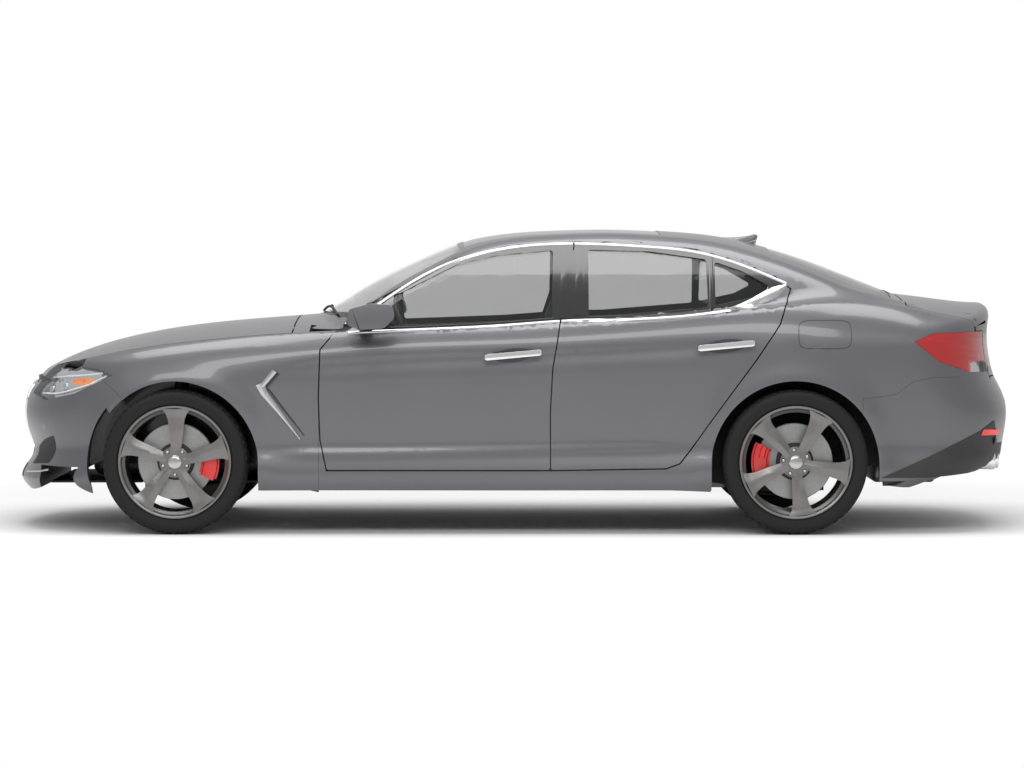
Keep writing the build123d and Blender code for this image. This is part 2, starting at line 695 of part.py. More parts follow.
def main():
    outer, inner = build_skin()
    cabin = cabin_space()
    wells = wheel_wells()

    front_door = door_solid(outer, cabin, FRONT_DOOR, [FRONT_WINDOW], 10)
    rear_door = door_solid(outer, cabin, REAR_DOOR, [REAR_WINDOW, QUARTER_WINDOW], 8)
    for name, door in (("front_door", front_door), ("rear_door", rear_door)):
        keep(name + "_left", door)
        keep(name + "_right", door.mirror(Plane.XZ))
    for name, windows in (("front_glass", [FRONT_WINDOW]), ("rear_glass", [REAR_WINDOW, QUARTER_WINDOW])):
        panes = door_glass(windows)
        keep(name + "_left", panes)
        keep(name + "_right", [pane.mirror(Plane.XZ) for pane in panes])

    hood_outline = mirrored_outline(HOOD_HALF)
    hood_blank = plan_prism(hood_outline, 690 + HALF_GAP, BODY_TOP_Z, grow=-HALF_GAP)
    hood_space = plan_prism(hood_outline, 690, BODY_TOP_Z, grow=HALF_GAP)
    lamp_clear = side_prism(HEADLAMP, -WIDE, -HEADLAMP_INNER_Y + SHUT_GAP, grow=SHUT_GAP)
    hood = (lower_body() & hood_blank) - [upper_space(SKIN_WALL), *both(lamp_clear)]
    hinge_arm = block(-1080, FIREWALL_X - GLASS_GAP, -700, -640, 890, 975) & upper_space(SKIN_WALL - 4)
    keep("hood", hood + both(hinge_arm))

    # The trunk lid is a skin over the deck with its face turned down between the lamps.
    lid_blank = lid_solid(-HALF_GAP)
    lid_space = lid_solid(HALF_GAP)
    lid_core = block(1500, LID_INNER_X, -760, 760, 500, BODY_TOP_Z)
    lid_lamp_seat = block(LID_LAMP_BACK_X, 2400, -LID_FACE_HALF + 4, -LID_LAMP_INNER_Y, 760, 906)
    lid_lamp_space = block(
        LID_LAMP_BACK_X + GLASS_GAP, 2400, -LID_FACE_HALF + 4 + GLASS_GAP, -LID_LAMP_INNER_Y - GLASS_GAP,
        760 + GLASS_GAP, 906 - GLASS_GAP)
    lid_whole = outer & lid_blank
    lid_top = lid_whole - upper_space(SKIN_WALL)
    lid_face = lid_whole - lid_core
    right_half = block(1500, 2500, 0, WIDE, 0, BODY_TOP_Z)
    lid_half = ((lid_top + lid_face) & right_half) - lid_lamp_seat.mirror(Plane.XZ)
    hinge_x = LID_FRONT_X - HALF_GAP + GLASS_GAP
    lid_half = lid_half + block(hinge_x, hinge_x + 50, *LID_HINGE_Y, *LID_HINGE_Z)
    keep("trunk_lid", lid_half + lid_half.mirror(Plane.XZ))

    # Lamps lie in the corners of the body, right through its skin.
    lamp_core = body_core(LAMP_DEPTH, LAMP_DEPTH)
    headlamp = (outer & side_prism(HEADLAMP, -WIDE, -HEADLAMP_INNER_Y, grow=-1)) - lamp_core
    tail_lamp = (outer & side_prism(TAIL_LAMP, -WIDE, -LAMP_INNER_Y, grow=-1)) - lamp_core
    lid_lamp = outer & lid_lamp_space
    keep("headlamps", both(headlamp))
    keep("tail_lamps", both(tail_lamp))
    keep("lid_lamps", both(lid_lamp))
    head_space = side_prism(HEADLAMP, -WIDE, -HEADLAMP_INNER_Y + 1)
    tail_space = side_prism(TAIL_LAMP, -WIDE, -LAMP_INNER_Y + 1)
    lamp_spaces = both(head_space) + both(tail_space)

    # Bumpers wrap round the nose and the tail and end at the wheel arches.
    bumper_core = body_core(CORE_INSET, SKIN_WALL) & block(-2400, 2400, -WIDE, WIDE, 300, 1200)
    bumper_floor = block(-2190, 2190, -790, 790, 0, 301)
    front_blank = side_prism(BUMPER_FRONT, -WIDE, WIDE, grow=-1)
    rear_blank = side_prism(BUMPER_REAR, -WIDE, WIDE, grow=-1)
    grille_opening = front_prism(mirrored_front(GRILLE_HALF), -2500, -2100)
    front_bumper = (outer & front_blank) - [bumper_core, bumper_floor]
    front_bumper = front_bumper - [grille_opening, hood_space, *both(head_space), *wells]
    rear_panel = (outer & rear_blank) - [bumper_core, bumper_floor]
    rear_panel = rear_panel - [lid_space, *both(tail_space), *wells]
    diffuser_zone = block(1700, 2400, -DIFFUSER_HALF, DIFFUSER_HALF, 0, DIFFUSER_TOP_Z)
    diffuser = rear_panel & diffuser_zone
    rear_bumper = rear_panel - block(1700, 2400, -DIFFUSER_HALF - 1, DIFFUSER_HALF + 1, 0, DIFFUSER_TOP_Z + 1)
    keep("front_bumper", front_bumper)
    keep("rear_bumper", rear_bumper)
    keep("diffuser", diffuser)

    # The grille stands in its opening as a dark lattice between a rim.
    grille_shell = side_loft().moved(Location((14, 0, 0))) - side_loft().moved(Location((34, 0, 0)))
    grille_plate = grille_shell & front_prism(mirrored_front(GRILLE_HALF), -2500, -2100, grow=-GLASS_GAP)
    grille_holes = []
    inner_outline = front_prism(mirrored_front(GRILLE_HALF), -2500, -2100, grow=-16)
    hole_z = GRILLE_LOW_Z + GRILLE_BAR
    while hole_z < GRILLE_HIGH_Z:
        slot = block(-2500, -2100, -400, 400, hole_z, hole_z + GRILLE_PITCH - GRILLE_BAR)
        grille_holes.append(inner_outline & slot)
        hole_z += GRILLE_PITCH
    grille = grille_plate - grille_holes
    keep("grille", grille)

    # Fenders: the skin between hood, lamp, bumper, arch and door.
    fender_region = side_prism(
        [(-2400, 560), (-2400, 1100), *reversed(FENDER_REAR), (-1780, 150), (-1780, 560)], -WIDE, 0)
    door_space_front = side_prism(FRONT_DOOR, -WIDE, -300, grow=HALF_GAP)
    door_space_rear = side_prism(REAR_DOOR, -WIDE, -300, grow=HALF_GAP)
    kept = block(CABIN_FRONT_X, CABIN_REAR_X, -DOOR_INNER_Y + SHUT_GAP, 0, 0, BELT_SPLIT_Z)
    door_space_rear = door_space_rear - kept
    rocker_cut = block(-1300, -800, -WIDE, 0, 0, ROCKER_BOTTOM_Z)
    front_bumper_space = side_prism(BUMPER_FRONT, -WIDE, WIDE)
    cowl_half = block(FIREWALL_X - 3, -600, -COWL_HALF - 1, 0, 0, BODY_TOP_Z)
    fender = (lower_body() & fender_region) - inner
    fender = fender - [
        hood_space, front_bumper_space, head_space, door_space_front, wells[0], wells[4], cowl_half,
        rocker_cut]
    keep("front_fenders", both(fender))

    # ---------------------------------------------------------------- body shell
    rear_space = side_prism(BUMPER_REAR, -WIDE, WIDE)
    tail_zone = block(1590, TRUNK_REAR_X + 30, -WIDE, 0, REAR_FLOOR_Z, 690)
    tail_inside = body_core(CORE_INSET + GLASS_GAP, 100) & tail_zone
    trunk = [
        block(TRUNK_FRONT_X, LID_FRONT_X, -TRUNK_HALF, 0, TRUNK_FLOOR_Z, SHELF_TOP_Z - SHELF_THICK),
        block(LID_FRONT_X, TRUNK_REAR_X, -TRUNK_HALF, 0, TRUNK_FLOOR_Z, LID_TOP_Z + 5),
    ]
    screens = [plan_prism(outline, 900, BODY_TOP_Z) for outline in SCREENS]
    recess = block(REAR_AXLE_X - 220, REAR_AXLE_X + 330, -REAR_WELL_Y - 1, 0, 0, REAR_RECESS_Z)
    left_wells = wells[0::2]
    fender_corner = side_prism([(-950, 690), (-950, 1100), *reversed(FENDER_REAR[1:])], -WIDE, -COWL_HALF)
    sides = cut(side_loft(), [lid_space], both(tail_space)) & upper_space()
    house = greenhouse() - [lid_space, *both(tail_space)]
    shell = (sides + house) - underside()
    shell = shell & block(FENDER_REAR_X + 1, 2400, -WIDE, 0, 0, BODY_TOP_Z)
    shell = cut(
        shell, [rear_space], trunk, [*left_wells, recess], screens, cabin[:4], cabin[4:],
        [door_space_front], [door_space_rear], [fender_corner])
    tail_inside = tail_inside - [*trunk, *left_wells, tail_space]
    cowl = outer & block(FIREWALL_X, FENDER_REAR_X + 2, -COWL_HALF, 0, 0, BODY_TOP_Z)
    cowl = cowl - [*cabin, *screens]

    # Front structure: aprons, towers and the cross member that carries the radiator.
    apron = body_core(CORE_INSET + GLASS_GAP, APRON_DROP) & block(-2150, FIREWALL_X + 1, -WIDE, 0, 302, 1000)
    apron = apron - [
        *left_wells, head_space, block(-2100, FIREWALL_X, -BAY_HALF, 0, 0, BODY_TOP_Z)]

    # Pillars stand inside the doors: one carries the front hinges, one parts the doors.
    wall = -DOOR_INNER_Y + PILLAR_CLEAR
    post_foot_z = DOOR_BOTTOM_Z - HALF_GAP - 1
    hinge_post = block(CABIN_FRONT_X - 1, -850, wall, wall + 45, post_foot_z, HINGE_POST_TOP_Z)
    post = side_prism(PILLAR, -WIDE, 0)
    low_post = block(0, 500, wall, wall + 55, 0, 950) & post
    high_zone = block(0, 500, wall, 0, 950, BODY_TOP_Z)
    frame_inner = FRAME_DEPTH + PILLAR_CLEAR
    high_post = (glass_sides(frame_inner) - glass_sides(frame_inner + 45)) & post & high_zone
    for piece in (cowl, tail_inside, apron, low_post, high_post, hinge_post):
        shell = shell + piece
    keep("body_shell", shell + shell.mirror(Plane.XZ))

    slab = greenhouse(4) - greenhouse(4 + GLASS_THICK)
    panes = []
    for outline in SCREENS:
        panes.append(slab & plan_prism(outline, 900, BODY_TOP_Z, grow=-GLASS_GAP))
    keep("body_glass", panes)

    # ---------------------------------------------------------------- wheels
    for place, (x, track, width, side) in WHEELS.items():
        keep("tyre_" + place, tyre(width, x, side * track / 2))
        keep("rim_" + place, rim(width, x, side * track / 2, side))

    # ---------------------------------------------------------------- running gear
    front_y = -FRONT_TRACK / 2
    pin_front = front_y + PIN_INSET
    knuckle = upright(FRONT_AXLE_X, front_y, 1, pin_front)
    keep("front_knuckle_left", knuckle)
    keep("front_knuckle_right", knuckle.mirror(Plane.XZ))
    front_top = ARCH_Z + FRONT_ARCH_R + WELL_EXTRA_R - WELL_FACET
    front_links = links(FRONT_AXLE_X, pin_front, -330, 190, FRONT_DAMPER_Y, front_top, GLASS_GAP)
    front_links.append(upper_arm(FRONT_AXLE_X, pin_front, -FRONT_WELL_Y - GLASS_GAP, GLASS_GAP))
    mount_x = (FRONT_AXLE_X - 60, FRONT_AXLE_X + 60)
    front_links.append(block(*mount_x, -494, -340, PIN_LOW_Z - 10, REAR_FLOOR_Z - GLASS_GAP))
    cross = block(FRONT_AXLE_X - 190, FRONT_AXLE_X + 190, -345, 345, 150, 235)
    keep("front_axle", cross + [piece for link in front_links for piece in both(link)])
    rear_y = -REAR_TRACK / 2
    pin_rear = rear_y + PIN_INSET + 15
    rear_upright = upright(REAR_AXLE_X, rear_y, -1, pin_rear)
    rear_links = [rear_upright] + links(REAR_AXLE_X, pin_rear, -380, 170, -560, REAR_RECESS_Z - GLASS_GAP, 0)
    rear_links.append(upper_arm(REAR_AXLE_X, pin_rear, -REAR_WELL_Y - GLASS_GAP, 0))
    beam = block(REAR_AXLE_X - 170, REAR_AXLE_X + 170, -395, 395, 170, REAR_RECESS_Z - GLASS_GAP)
    keep("rear_axle", beam + [piece for link in rear_links for piece in both(link)])

    # ---------------------------------------------------------------- under and inside
    engine = block(-1980, -1080, -300, 300, 235 + GLASS_GAP, 790)
    keep("engine_block", engine.chamfer(30, None, engine.edges()))
    tray = block(-2160, FIREWALL_X - GLASS_GAP, -455, 455, 210, 220)
    gap_x = 190 + GLASS_GAP
    keep("undertray", tray - [block(FRONT_AXLE_X - gap_x, FRONT_AXLE_X + gap_x, -460, 460, 200, 260)])
    muffler = block(1700, 1990, -380, 380, 205, REAR_FLOOR_Z - GLASS_GAP)
    keep("exhaust", muffler.chamfer(24, None, muffler.edges().filter_by(Axis.X)))

    dash_front = CABIN_FRONT_X + GLASS_GAP
    dash_profile = [(dash_front, 520), (dash_front, 915), (-860, 925), (-640, 905), (-560, 860), (-560, 800),
                    (-640, 700), (-700, 520)]
    dash = side_prism(dash_profile, -770, 770)
    console = side_prism([(-700, 215.3), (-700, 620), (-480, 560), (380, 500), (420, 215.3)], -120, 120)
    column = Solid.make_cylinder(26, 110, steering_plane().offset(-34 - GLASS_GAP - 110))
    keep("dashboard", dash + [console, column])

    keep("steering_wheel", steering_wheel())

    front_seat = seat(-370, 235, -420, 930, FLOOR_TOP_Z + GLASS_GAP)
    keep("front_seats", both(front_seat))
    rear_seat = seat(0, 590, 630, 940, REAR_PAN_Z + GLASS_GAP)
    keep("rear_seat", rear_seat)

    # ---------------------------------------------------------------- fittings
    mirror_piece = mirror_left() - outer
    keep("mirror_left", mirror_piece)
    keep("mirror_right", mirror_piece.mirror(Plane.XZ))

    for name, span, z, y in (("front", (-124, 134), 822, 901), ("rear", (846, 1104), 864, 904)):
        pull = handle(*span, z, y) - outer
        keep(f"{name}_handle_left", pull)
        keep(f"{name}_handle_right", pull.mirror(Plane.XZ))

    os.makedirs("parts", exist_ok=True)
    for name, shape in nodes.items():
        export_step(shape, f"parts/{name}.step")


if __name__ == "__main__":
    main()
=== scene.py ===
# %% [markdown]
# # A sports sedan around its construction frame
# The frame holds every panel, wheel and hinge at its real place. This lesson gives those solids
# their looks: rounded sheet metal, glass, lamps, tyres and cabin. Nothing here moves a solid.

# %% Load the frame
import bpy
import bmesh
import json
import math
import numpy as np
from mathutils.bvhtree import BVHTree
from mathutils import Matrix, Vector

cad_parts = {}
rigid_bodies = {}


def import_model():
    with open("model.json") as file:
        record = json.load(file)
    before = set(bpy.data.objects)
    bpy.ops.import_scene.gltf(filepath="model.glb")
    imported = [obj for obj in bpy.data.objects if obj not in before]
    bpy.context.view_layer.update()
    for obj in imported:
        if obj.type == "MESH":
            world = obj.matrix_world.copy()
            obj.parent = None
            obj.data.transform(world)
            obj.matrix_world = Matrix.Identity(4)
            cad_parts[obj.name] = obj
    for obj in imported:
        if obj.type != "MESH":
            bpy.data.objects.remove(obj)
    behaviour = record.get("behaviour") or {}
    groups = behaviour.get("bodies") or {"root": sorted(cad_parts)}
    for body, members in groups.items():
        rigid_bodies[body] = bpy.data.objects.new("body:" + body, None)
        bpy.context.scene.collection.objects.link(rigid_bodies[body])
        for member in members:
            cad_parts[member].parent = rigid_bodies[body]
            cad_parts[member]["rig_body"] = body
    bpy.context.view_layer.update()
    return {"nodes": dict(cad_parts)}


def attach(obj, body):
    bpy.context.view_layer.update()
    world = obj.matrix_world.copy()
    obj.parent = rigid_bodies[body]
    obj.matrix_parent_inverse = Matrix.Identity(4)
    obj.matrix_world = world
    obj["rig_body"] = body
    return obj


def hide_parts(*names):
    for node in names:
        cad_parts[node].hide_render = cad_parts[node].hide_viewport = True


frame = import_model()

# %% [markdown]
# ## The form as a law
# Sheet metal is smooth over the whole car, while a solid's facets are flat. So the form is
# written once more as laws along the car: side, deck, roof. A point's signed distance to them says
# how far it is from the real skin, and the panels are pulled onto that skin.

# %% Smooth laws, in millimetres as in the construction
def spline_law(*knots):
    """Natural cubic through (place, value) knots, straight beyond both ends, for arrays."""
    at = np.array([k[0] for k in knots], float)
    value = np.array([k[1] for k in knots], float)
    count = len(knots)
    step = np.diff(at)
    matrix = np.eye(count)
    load = np.zeros(count)
    for i in range(1, count - 1):
        matrix[i, i - 1:i + 2] = step[i - 1], 2 * (step[i - 1] + step[i]), step[i]
        load[i] = 6 * ((value[i + 1] - value[i]) / step[i] - (value[i] - value[i - 1]) / step[i - 1])
    bend = np.linalg.solve(matrix, load)

    def law(x):
        x = np.asarray(x, float)
        inside = np.clip(x, at[0], at[-1])
        i = np.clip(np.searchsorted(at, inside, "right") - 1, 0, count - 2)
        size = step[i]
        ahead = at[i + 1] - inside
        behind = inside - at[i]
        curve = (bend[i] * ahead**3 + bend[i + 1] * behind**3) / (6 * size)
        curve += (value[i] / size - bend[i] * size / 6) * ahead
        curve += (value[i + 1] / size - bend[i + 1] * size / 6) * behind
        slope = (value[i + 1] - value[i]) / size
        tilt = np.where(x < inside, -(2 * bend[i] + bend[i + 1]), bend[i] + 2 * bend[i + 1])
        return curve + np.where(x == inside, 0, (slope + tilt * size / 6) * (x - inside))

    return law


nose_x = spline_law(
    (160, -2285), (223, -2336), (339, -2283), (460, -2306), (555, -2321), (620, -2312),
    (699, -2267), (745, -2205), (850, -2040), (1000, -1760), (1150, -1480))
tail_x = spline_law(
    (160, 2060), (240, 2140), (300, 2282), (365, 2325), (463, 2341), (579, 2342),
    (640, 2320), (700, 2290), (800, 2262), (900, 2252), (1044, 2270), (1150, 2280))
side_y = spline_law(
    (150, 838), (200, 866), (250, 886), (300, 887), (345, 878), (390, 868), (450, 873),
    (550, 887), (650, 896), (750, 902), (850, 904), (950, 898), (1050, 880), (1150, 850))
taper_y = spline_law(
    (-2340, -95), (-1900, -42), (-1540, -10), (-800, -4), (0, 0), (900, 0), (1290, 4),
    (1800, -24), (2340, -85))
centre_z = spline_law(
    (-2340, 655), (-2267, 706), (-2219, 736), (-1979, 843), (-1740, 905), (-1498, 944),
    (-1018, 987), (-500, 1030), (300, 1085), (1000, 1110), (1500, 1105), (1806, 1092),
    (2060, 1062), (2180, 1050), (2340, 1052))
belt_y = spline_law(
    (-2340, 560), (-2075, 690), (-1740, 765), (-1429, 790), (-1018, 815), (-700, 838),
    (0, 850), (900, 848), (1290, 832), (1770, 735), (2093, 690), (2340, 640))
belt_z = spline_law(
    (-2340, 560), (-2190, 690), (-2075, 765), (-1933, 805), (-1740, 843), (-1429, 884),
    (-1018, 918), (-535, 930), (220, 962), (920, 1015), (1270, 1045), (1500, 1056),
    (1770, 1046), (1950, 1008), (2093, 980), (2340, 950))
shoulder_z = spline_law(
    (-2340, 520), (-2190, 600), (-1933, 695), (-1740, 745), (-1353, 789), (-875, 825),
    (-535, 846), (219, 875), (920, 915), (1312, 937), (1700, 935), (2000, 915),
    (2200, 885), (2340, 850))
roof_z = spline_law(
    (-1100, 880), (-922, 990), (-826, 1049), (-634, 1165), (-442, 1256), (-250, 1335),
    (-58, 1376), (231, 1396), (423, 1400), (711, 1390), (999, 1361), (1191, 1318),
    (1383, 1260), (1575, 1188), (1767, 1112), (2000, 1015))
rail_y = spline_law(
    (-1100, 850), (-800, 846), (-300, 850), (300, 852), (900, 848), (1290, 832), (1800, 735),
    (2000, 700))
NOSE_CORNER, NOSE_POWER = 520, 2.3
TAIL_CORNER, TAIL_POWER = 430, 2.6
SHOULDER_POWER = 1.55
SIDE_LEAN, SIDE_BARREL = 0.46, 0.0005
SCREEN_WRAP, SCREEN_PIVOT_X = 0.00021, 420
ROOF_CROWN, ROOF_HALF = 36, 600
HOUSE_FLOOR_Z, HOUSE_END_X = 905, 2060
NOSE_TOP_Z = 700
AXLES = (-1540, 1295)
ARCH_Z = 320
print("roof top", float(roof_z(423)), "mm")


# %% Signed distances of the four big surfaces
def smooth(low, high, x):
    """0 before low, 1 after high, and smooth between."""
    t = np.clip((np.asarray(x, float) - low) / (high - low), 0, 1)
    return t * t * (3 - 2 * t)


def flare(x, z):
    """How far the wheel arches stand out of the side."""
    out = 0
    for axle, height, spread in ((AXLES[0], 14, 62), (AXLES[1], 15, 70)):
        reach = np.hypot(x - axle, z - ARCH_Z)
        ring = np.exp(-((reach - 384) / spread) ** 2)
        out = out + height * np.where(reach < 384, 1, ring)
    return out * smooth(180, 330, z)


def crease(x, z):
    """Light lines pressed into the side: the sill crease and the hollow under the shoulder."""
    line = 372 + 26 * smooth(-900, 900, x)
    sill = 7 * np.exp(-((z - line) / 26) ** 2) * smooth(-1130, -900, x) * (1 - smooth(560, 900, x))
    tuck = 8 * np.exp(-((z - shoulder_z(x) + 52) / 40) ** 2)
    tuck = tuck * smooth(-1380, -700, x) * (1 - smooth(700, 1250, x))
    return sill - tuck


def half_width(x, z):
    """Half width of the body side without its corners."""
    return side_y(z) + taper_y(x)


def side_distance(x, y, z):
    """Distance to the side, nose and tail, as a level outline with rounded corners."""
    nose = nose_x(np.minimum(z, NOSE_TOP_Z))
    tail = tail_x(z)
    wide = half_width(x, z) + flare(x, z) + crease(x, z)
    front = np.clip((nose + NOSE_CORNER - x) / NOSE_CORNER, 0, 3)
    back = np.clip((x - tail + TAIL_CORNER) / TAIL_CORNER, 0, 3)
    along = np.maximum(front, back)
    power = np.where(front > back, NOSE_POWER, TAIL_POWER)
    across = np.abs(y) / wide
    level = (along**power + across**power) ** (1 / power)
    return (level - 1) * np.where(along > across, np.where(front > back, NOSE_CORNER, TAIL_CORNER), wide)


def upper_z(x, y):
    """Hood, door shoulders and deck as a height over the plan."""
    reach = np.abs(y)
    edge = belt_y(x)
    drop = centre_z(x) - belt_z(x)
    inner = centre_z(x) - drop * (reach / edge) ** 2
    slope = 2 * drop / edge
    span = half_width(x, shoulder_z(x)) - edge
    over = np.clip(reach - edge, 0, None)
    fall = belt_z(x) - shoulder_z(x) - slope * span
    outer = belt_z(x) - slope * over - fall * (over / span) ** SHOULDER_POWER
    return np.where(reach <= edge, inner, outer)


def canopy_z(x, y):
    """Windscreen, roof and rear screen as a height over the plan."""
    shift = np.tanh((SCREEN_PIVOT_X - x) / 700)
    return roof_z(x - SCREEN_WRAP * y * y * shift) - ROOF_CROWN * (np.abs(y) / ROOF_HALF) ** 2.4


def glass_y(x, z):
    """Half width of the glass house."""
    rise = z - 940
    return rail_y(x) - SIDE_LEAN * rise - SIDE_BARREL * rise * rise


STEP = 1.0


def even(field, x, y, z):
    """A field divided by its own steepness, so that it reads as millimetres."""
    value = field(x, y, z)
    gx = field(x + STEP, y, z) - value
    gy = field(x, y + STEP, z) - value
    gz = field(x, y, z + STEP) - value
    return value * STEP / np.sqrt(gx * gx + gy * gy + gz * gz + 1e-9)


def round_max(a, b, radius):
    """The larger of two distances, rounded where they meet."""
    u = np.maximum(radius + a, 0)
    v = np.maximum(radius + b, 0)
    return np.minimum(np.maximum(a, b), -radius) + np.hypot(u, v)


def round_min(a, b, radius):
    """The smaller of two distances, filleted where they meet."""
    return -round_max(-a, -b, radius)


def skin(x, y, z):
    """Signed distance to the whole skin, in millimetres."""
    side = even(side_distance, x, y, z)
    upper = even(lambda a, b, c: c - upper_z(a, b), x, y, z)
    edge = 20 + 40 * (1 - smooth(-1500, -800, x)) + 26 * smooth(1250, 1700, x)
    lower = round_max(side, upper, edge)
    glass = even(lambda a, b, c: np.abs(b) - glass_y(a, c), x, y, z)
    top = even(lambda a, b, c: c - canopy_z(a, b), x, y, z)
    house = np.maximum(round_max(glass, top, 34.0), HOUSE_FLOOR_Z - z)
    house = np.maximum(house, x - HOUSE_END_X)
    fillet = 70 * smooth(1120, 1420, x) * (1 - smooth(1850, 2000, x)) * smooth(520, 640, np.abs(y))
    return round_min(lower, house, 3 + fillet)


def skin_frame(points):
    """Distance to the skin and direction straight out of it, at each point."""
    x, y, z = points.T
    value = skin(x, y, z)
    slope = np.stack([skin(x + STEP, y, z), skin(x, y + STEP, z), skin(x, y, z + STEP)], axis=1)
    slope = slope - value[:, None]
    return value, slope / np.maximum(np.linalg.norm(slope, axis=1, keepdims=True), 1e-9)


def onto_skin(points, rise=0.0, rounds=3):
    """Points moved straight out or in until they lie rise millimetres above the skin."""
    points = points.copy()
    for _ in range(rounds):
        value, slope = skin_frame(points)
        points -= slope * (value - rise)[:, None]
    return points


def side_at(x, z, rise=0.0):
    """Half width of the skin at places in the side view."""
    x = np.asarray(x, float)
    z = np.asarray(z, float)
    low = np.full(x.shape, 250.0)
    high = np.full(x.shape, 1000.0)
    for _ in range(22):
        middle = (low + high) / 2
        inside = skin(x, middle, z) < rise
        low = np.where(inside, middle, low)
        high = np.where(inside, high, middle)
    return (low + high) / 2


def top_at(x, y, rise=0.0):
    """Height of the skin over places in the plan."""
    x = np.asarray(x, float)
    y = np.asarray(y, float)
    low = np.full(x.shape, 450.0)
    high = np.full(x.shape, 1460.0)
    for _ in range(22):
        middle = (low + high) / 2
        inside = skin(x, y, middle) < rise
        low = np.where(inside, middle, low)
        high = np.where(inside, high, middle)
    return (low + high) / 2


print("half width at the doors", round(float(side_at([0], [700])[0])), "mm")

# %% [markdown]
# ## Finishes
# A finish is a small network of nodes. Each one starts from the same helper, which gives a
# principled shader whose colour, roughness and bump vary a little with a noise on object
# coordinates, at the scale that the real surface shows.

# %% A helper for node-based finishes
def socket_value(shader, name, value):
    """Constant set straight on a shader socket."""
    shader.inputs[name].default_value = value


def rgb(red, green, blue):
    """Colour with full opacity."""
    return (red, green, blue, 1.0)


def finish(name, colour, second, roughness, spread, scale, bump=0.0, detail=4.0, **values):
    """Principled finish whose colour runs from one tone to a second with a noise."""
    material = bpy.data.materials.new(name)
    material.use_nodes = True
    tree = material.node_tree
    shader = tree.nodes["Principled BSDF"]
    place = tree.nodes.new("ShaderNodeTexCoord")
    noise = tree.nodes.new("ShaderNodeTexNoise")
    noise.inputs["Scale"].default_value = scale
    noise.inputs["Detail"].default_value = detail
    tree.links.new(place.outputs["Object"], noise.inputs["Vector"])
    blend = tree.nodes.new("ShaderNodeMix")
    blend.data_type = "RGBA"
    blend.inputs[6].default_value = rgb(*colour)
    blend.inputs[7].default_value = rgb(*second)
    tree.links.new(noise.outputs["Fac"], blend.inputs[0])
    tree.links.new(blend.outputs[2], shader.inputs["Base Color"])
    sheen = tree.nodes.new("ShaderNodeMapRange")
    sheen.inputs["To Min"].default_value = roughness - spread
    sheen.inputs["To Max"].default_value = roughness + spread
    tree.links.new(noise.outputs["Fac"], sheen.inputs["Value"])
    tree.links.new(sheen.outputs["Result"], shader.inputs["Roughness"])
    if bump:
        relief = tree.nodes.new("ShaderNodeBump")
        relief.inputs["Strength"].default_value = bump
        relief.inputs["Distance"].default_value = 0.001
        tree.links.new(noise.outputs["Fac"], relief.inputs["Height"])
        tree.links.new(relief.outputs["Normal"], shader.inputs["Normal"])
    for key, value in values.items():
        socket_value(shader, key.replace("_", " "), value)
    return material


def grain(material, scale, strength, distance=0.0006):
    """Small cells added under a finish: leather grain or moulded texture."""
    tree = material.node_tree
    shader = tree.nodes["Principled BSDF"]
    place = tree.nodes.new("ShaderNodeTexCoord")
    cells = tree.nodes.new("ShaderNodeTexVoronoi")
    cells.inputs["Scale"].default_value = scale
    tree.links.new(place.outputs["Object"], cells.inputs["Vector"])
    relief = tree.nodes.new("ShaderNodeBump")
    relief.inputs["Strength"].default_value = strength
    relief.inputs["Distance"].default_value = distance
    tree.links.new(cells.outputs["Distance"], relief.inputs["Height"])
    tree.links.new(relief.outputs["Normal"], shader.inputs["Normal"])
    return material


# %% Paint, trims and structure
def metallic_paint():
    """Grey base coat with fine flakes under a clear coat."""
    material = finish("grey_metallic_paint", (0.118, 0.116, 0.126), (0.13, 0.128, 0.139), 0.42, 0.02, 3.0,
                      Metallic=0.62, Coat_Weight=0.55, Coat_Roughness=0.07)
    tree = material.node_tree
    shader = tree.nodes["Principled BSDF"]
    place = tree.nodes.new("ShaderNodeTexCoord")
    flakes = tree.nodes.new("ShaderNodeTexVoronoi")
    flakes.inputs["Scale"].default_value = 900.0
    tree.links.new(place.outputs["Object"], flakes.inputs["Vector"])
    relief = tree.nodes.new("ShaderNodeBump")
    relief.inputs["Strength"].default_value = 0.06
    relief.inputs["Distance"].default_value = 0.0004
    tree.links.new(flakes.outputs["Distance"], relief.inputs["Height"])
    tree.links.new(relief.outputs["Normal"], shader.inputs["Normal"])
    return material


paint = metallic_paint()
under_paint = finish("satin_primer", (0.03, 0.03, 0.032), (0.045, 0.045, 0.048), 0.6, 0.08, 9.0, 0.2)
gloss_black = finish("gloss_black_trim", (0.008, 0.008, 0.009), (0.014, 0.014, 0.015), 0.16, 0.04, 20.0,
                     Coat_Weight=0.6, Coat_Roughness=0.05)
# Real black rubber for the window seals and wiper arms; on the fuel door the same finish is painted shade
# in place of a gap.
black_rubber_and_gap_shade = finish("black_rubber_and_painted_gap_shade", (0.012, 0.012, 0.012), (0.02, 0.02, 0.02), 0.62, 0.06, 40.0,
    0.15)
grey_plastic = grain(finish("grained_dark_plastic", (0.018, 0.018, 0.019), (0.028, 0.028, 0.029), 0.58,
    0.06, 14.0),
                     420.0, 0.25)
chrome = finish("bright_chrome", (0.74, 0.74, 0.75), (0.8, 0.8, 0.8), 0.1, 0.03, 12.0, Metallic=1.0)
satin_chrome = finish("satin_chrome", (0.46, 0.46, 0.465), (0.54, 0.54, 0.545), 0.24, 0.05, 30.0,
    Metallic=1.0)
alloy_dark = finish("dark_alloy_paint", (0.05, 0.049, 0.048), (0.07, 0.068, 0.067), 0.4, 0.05, 26.0, 0.05,
                    Metallic=0.7, Coat_Weight=0.5, Coat_Roughness=0.12)
alloy_bright = finish("machined_alloy", (0.17, 0.166, 0.16), (0.21, 0.204, 0.198), 0.34, 0.05, 60.0, 0.05,
                      Metallic=0.8)
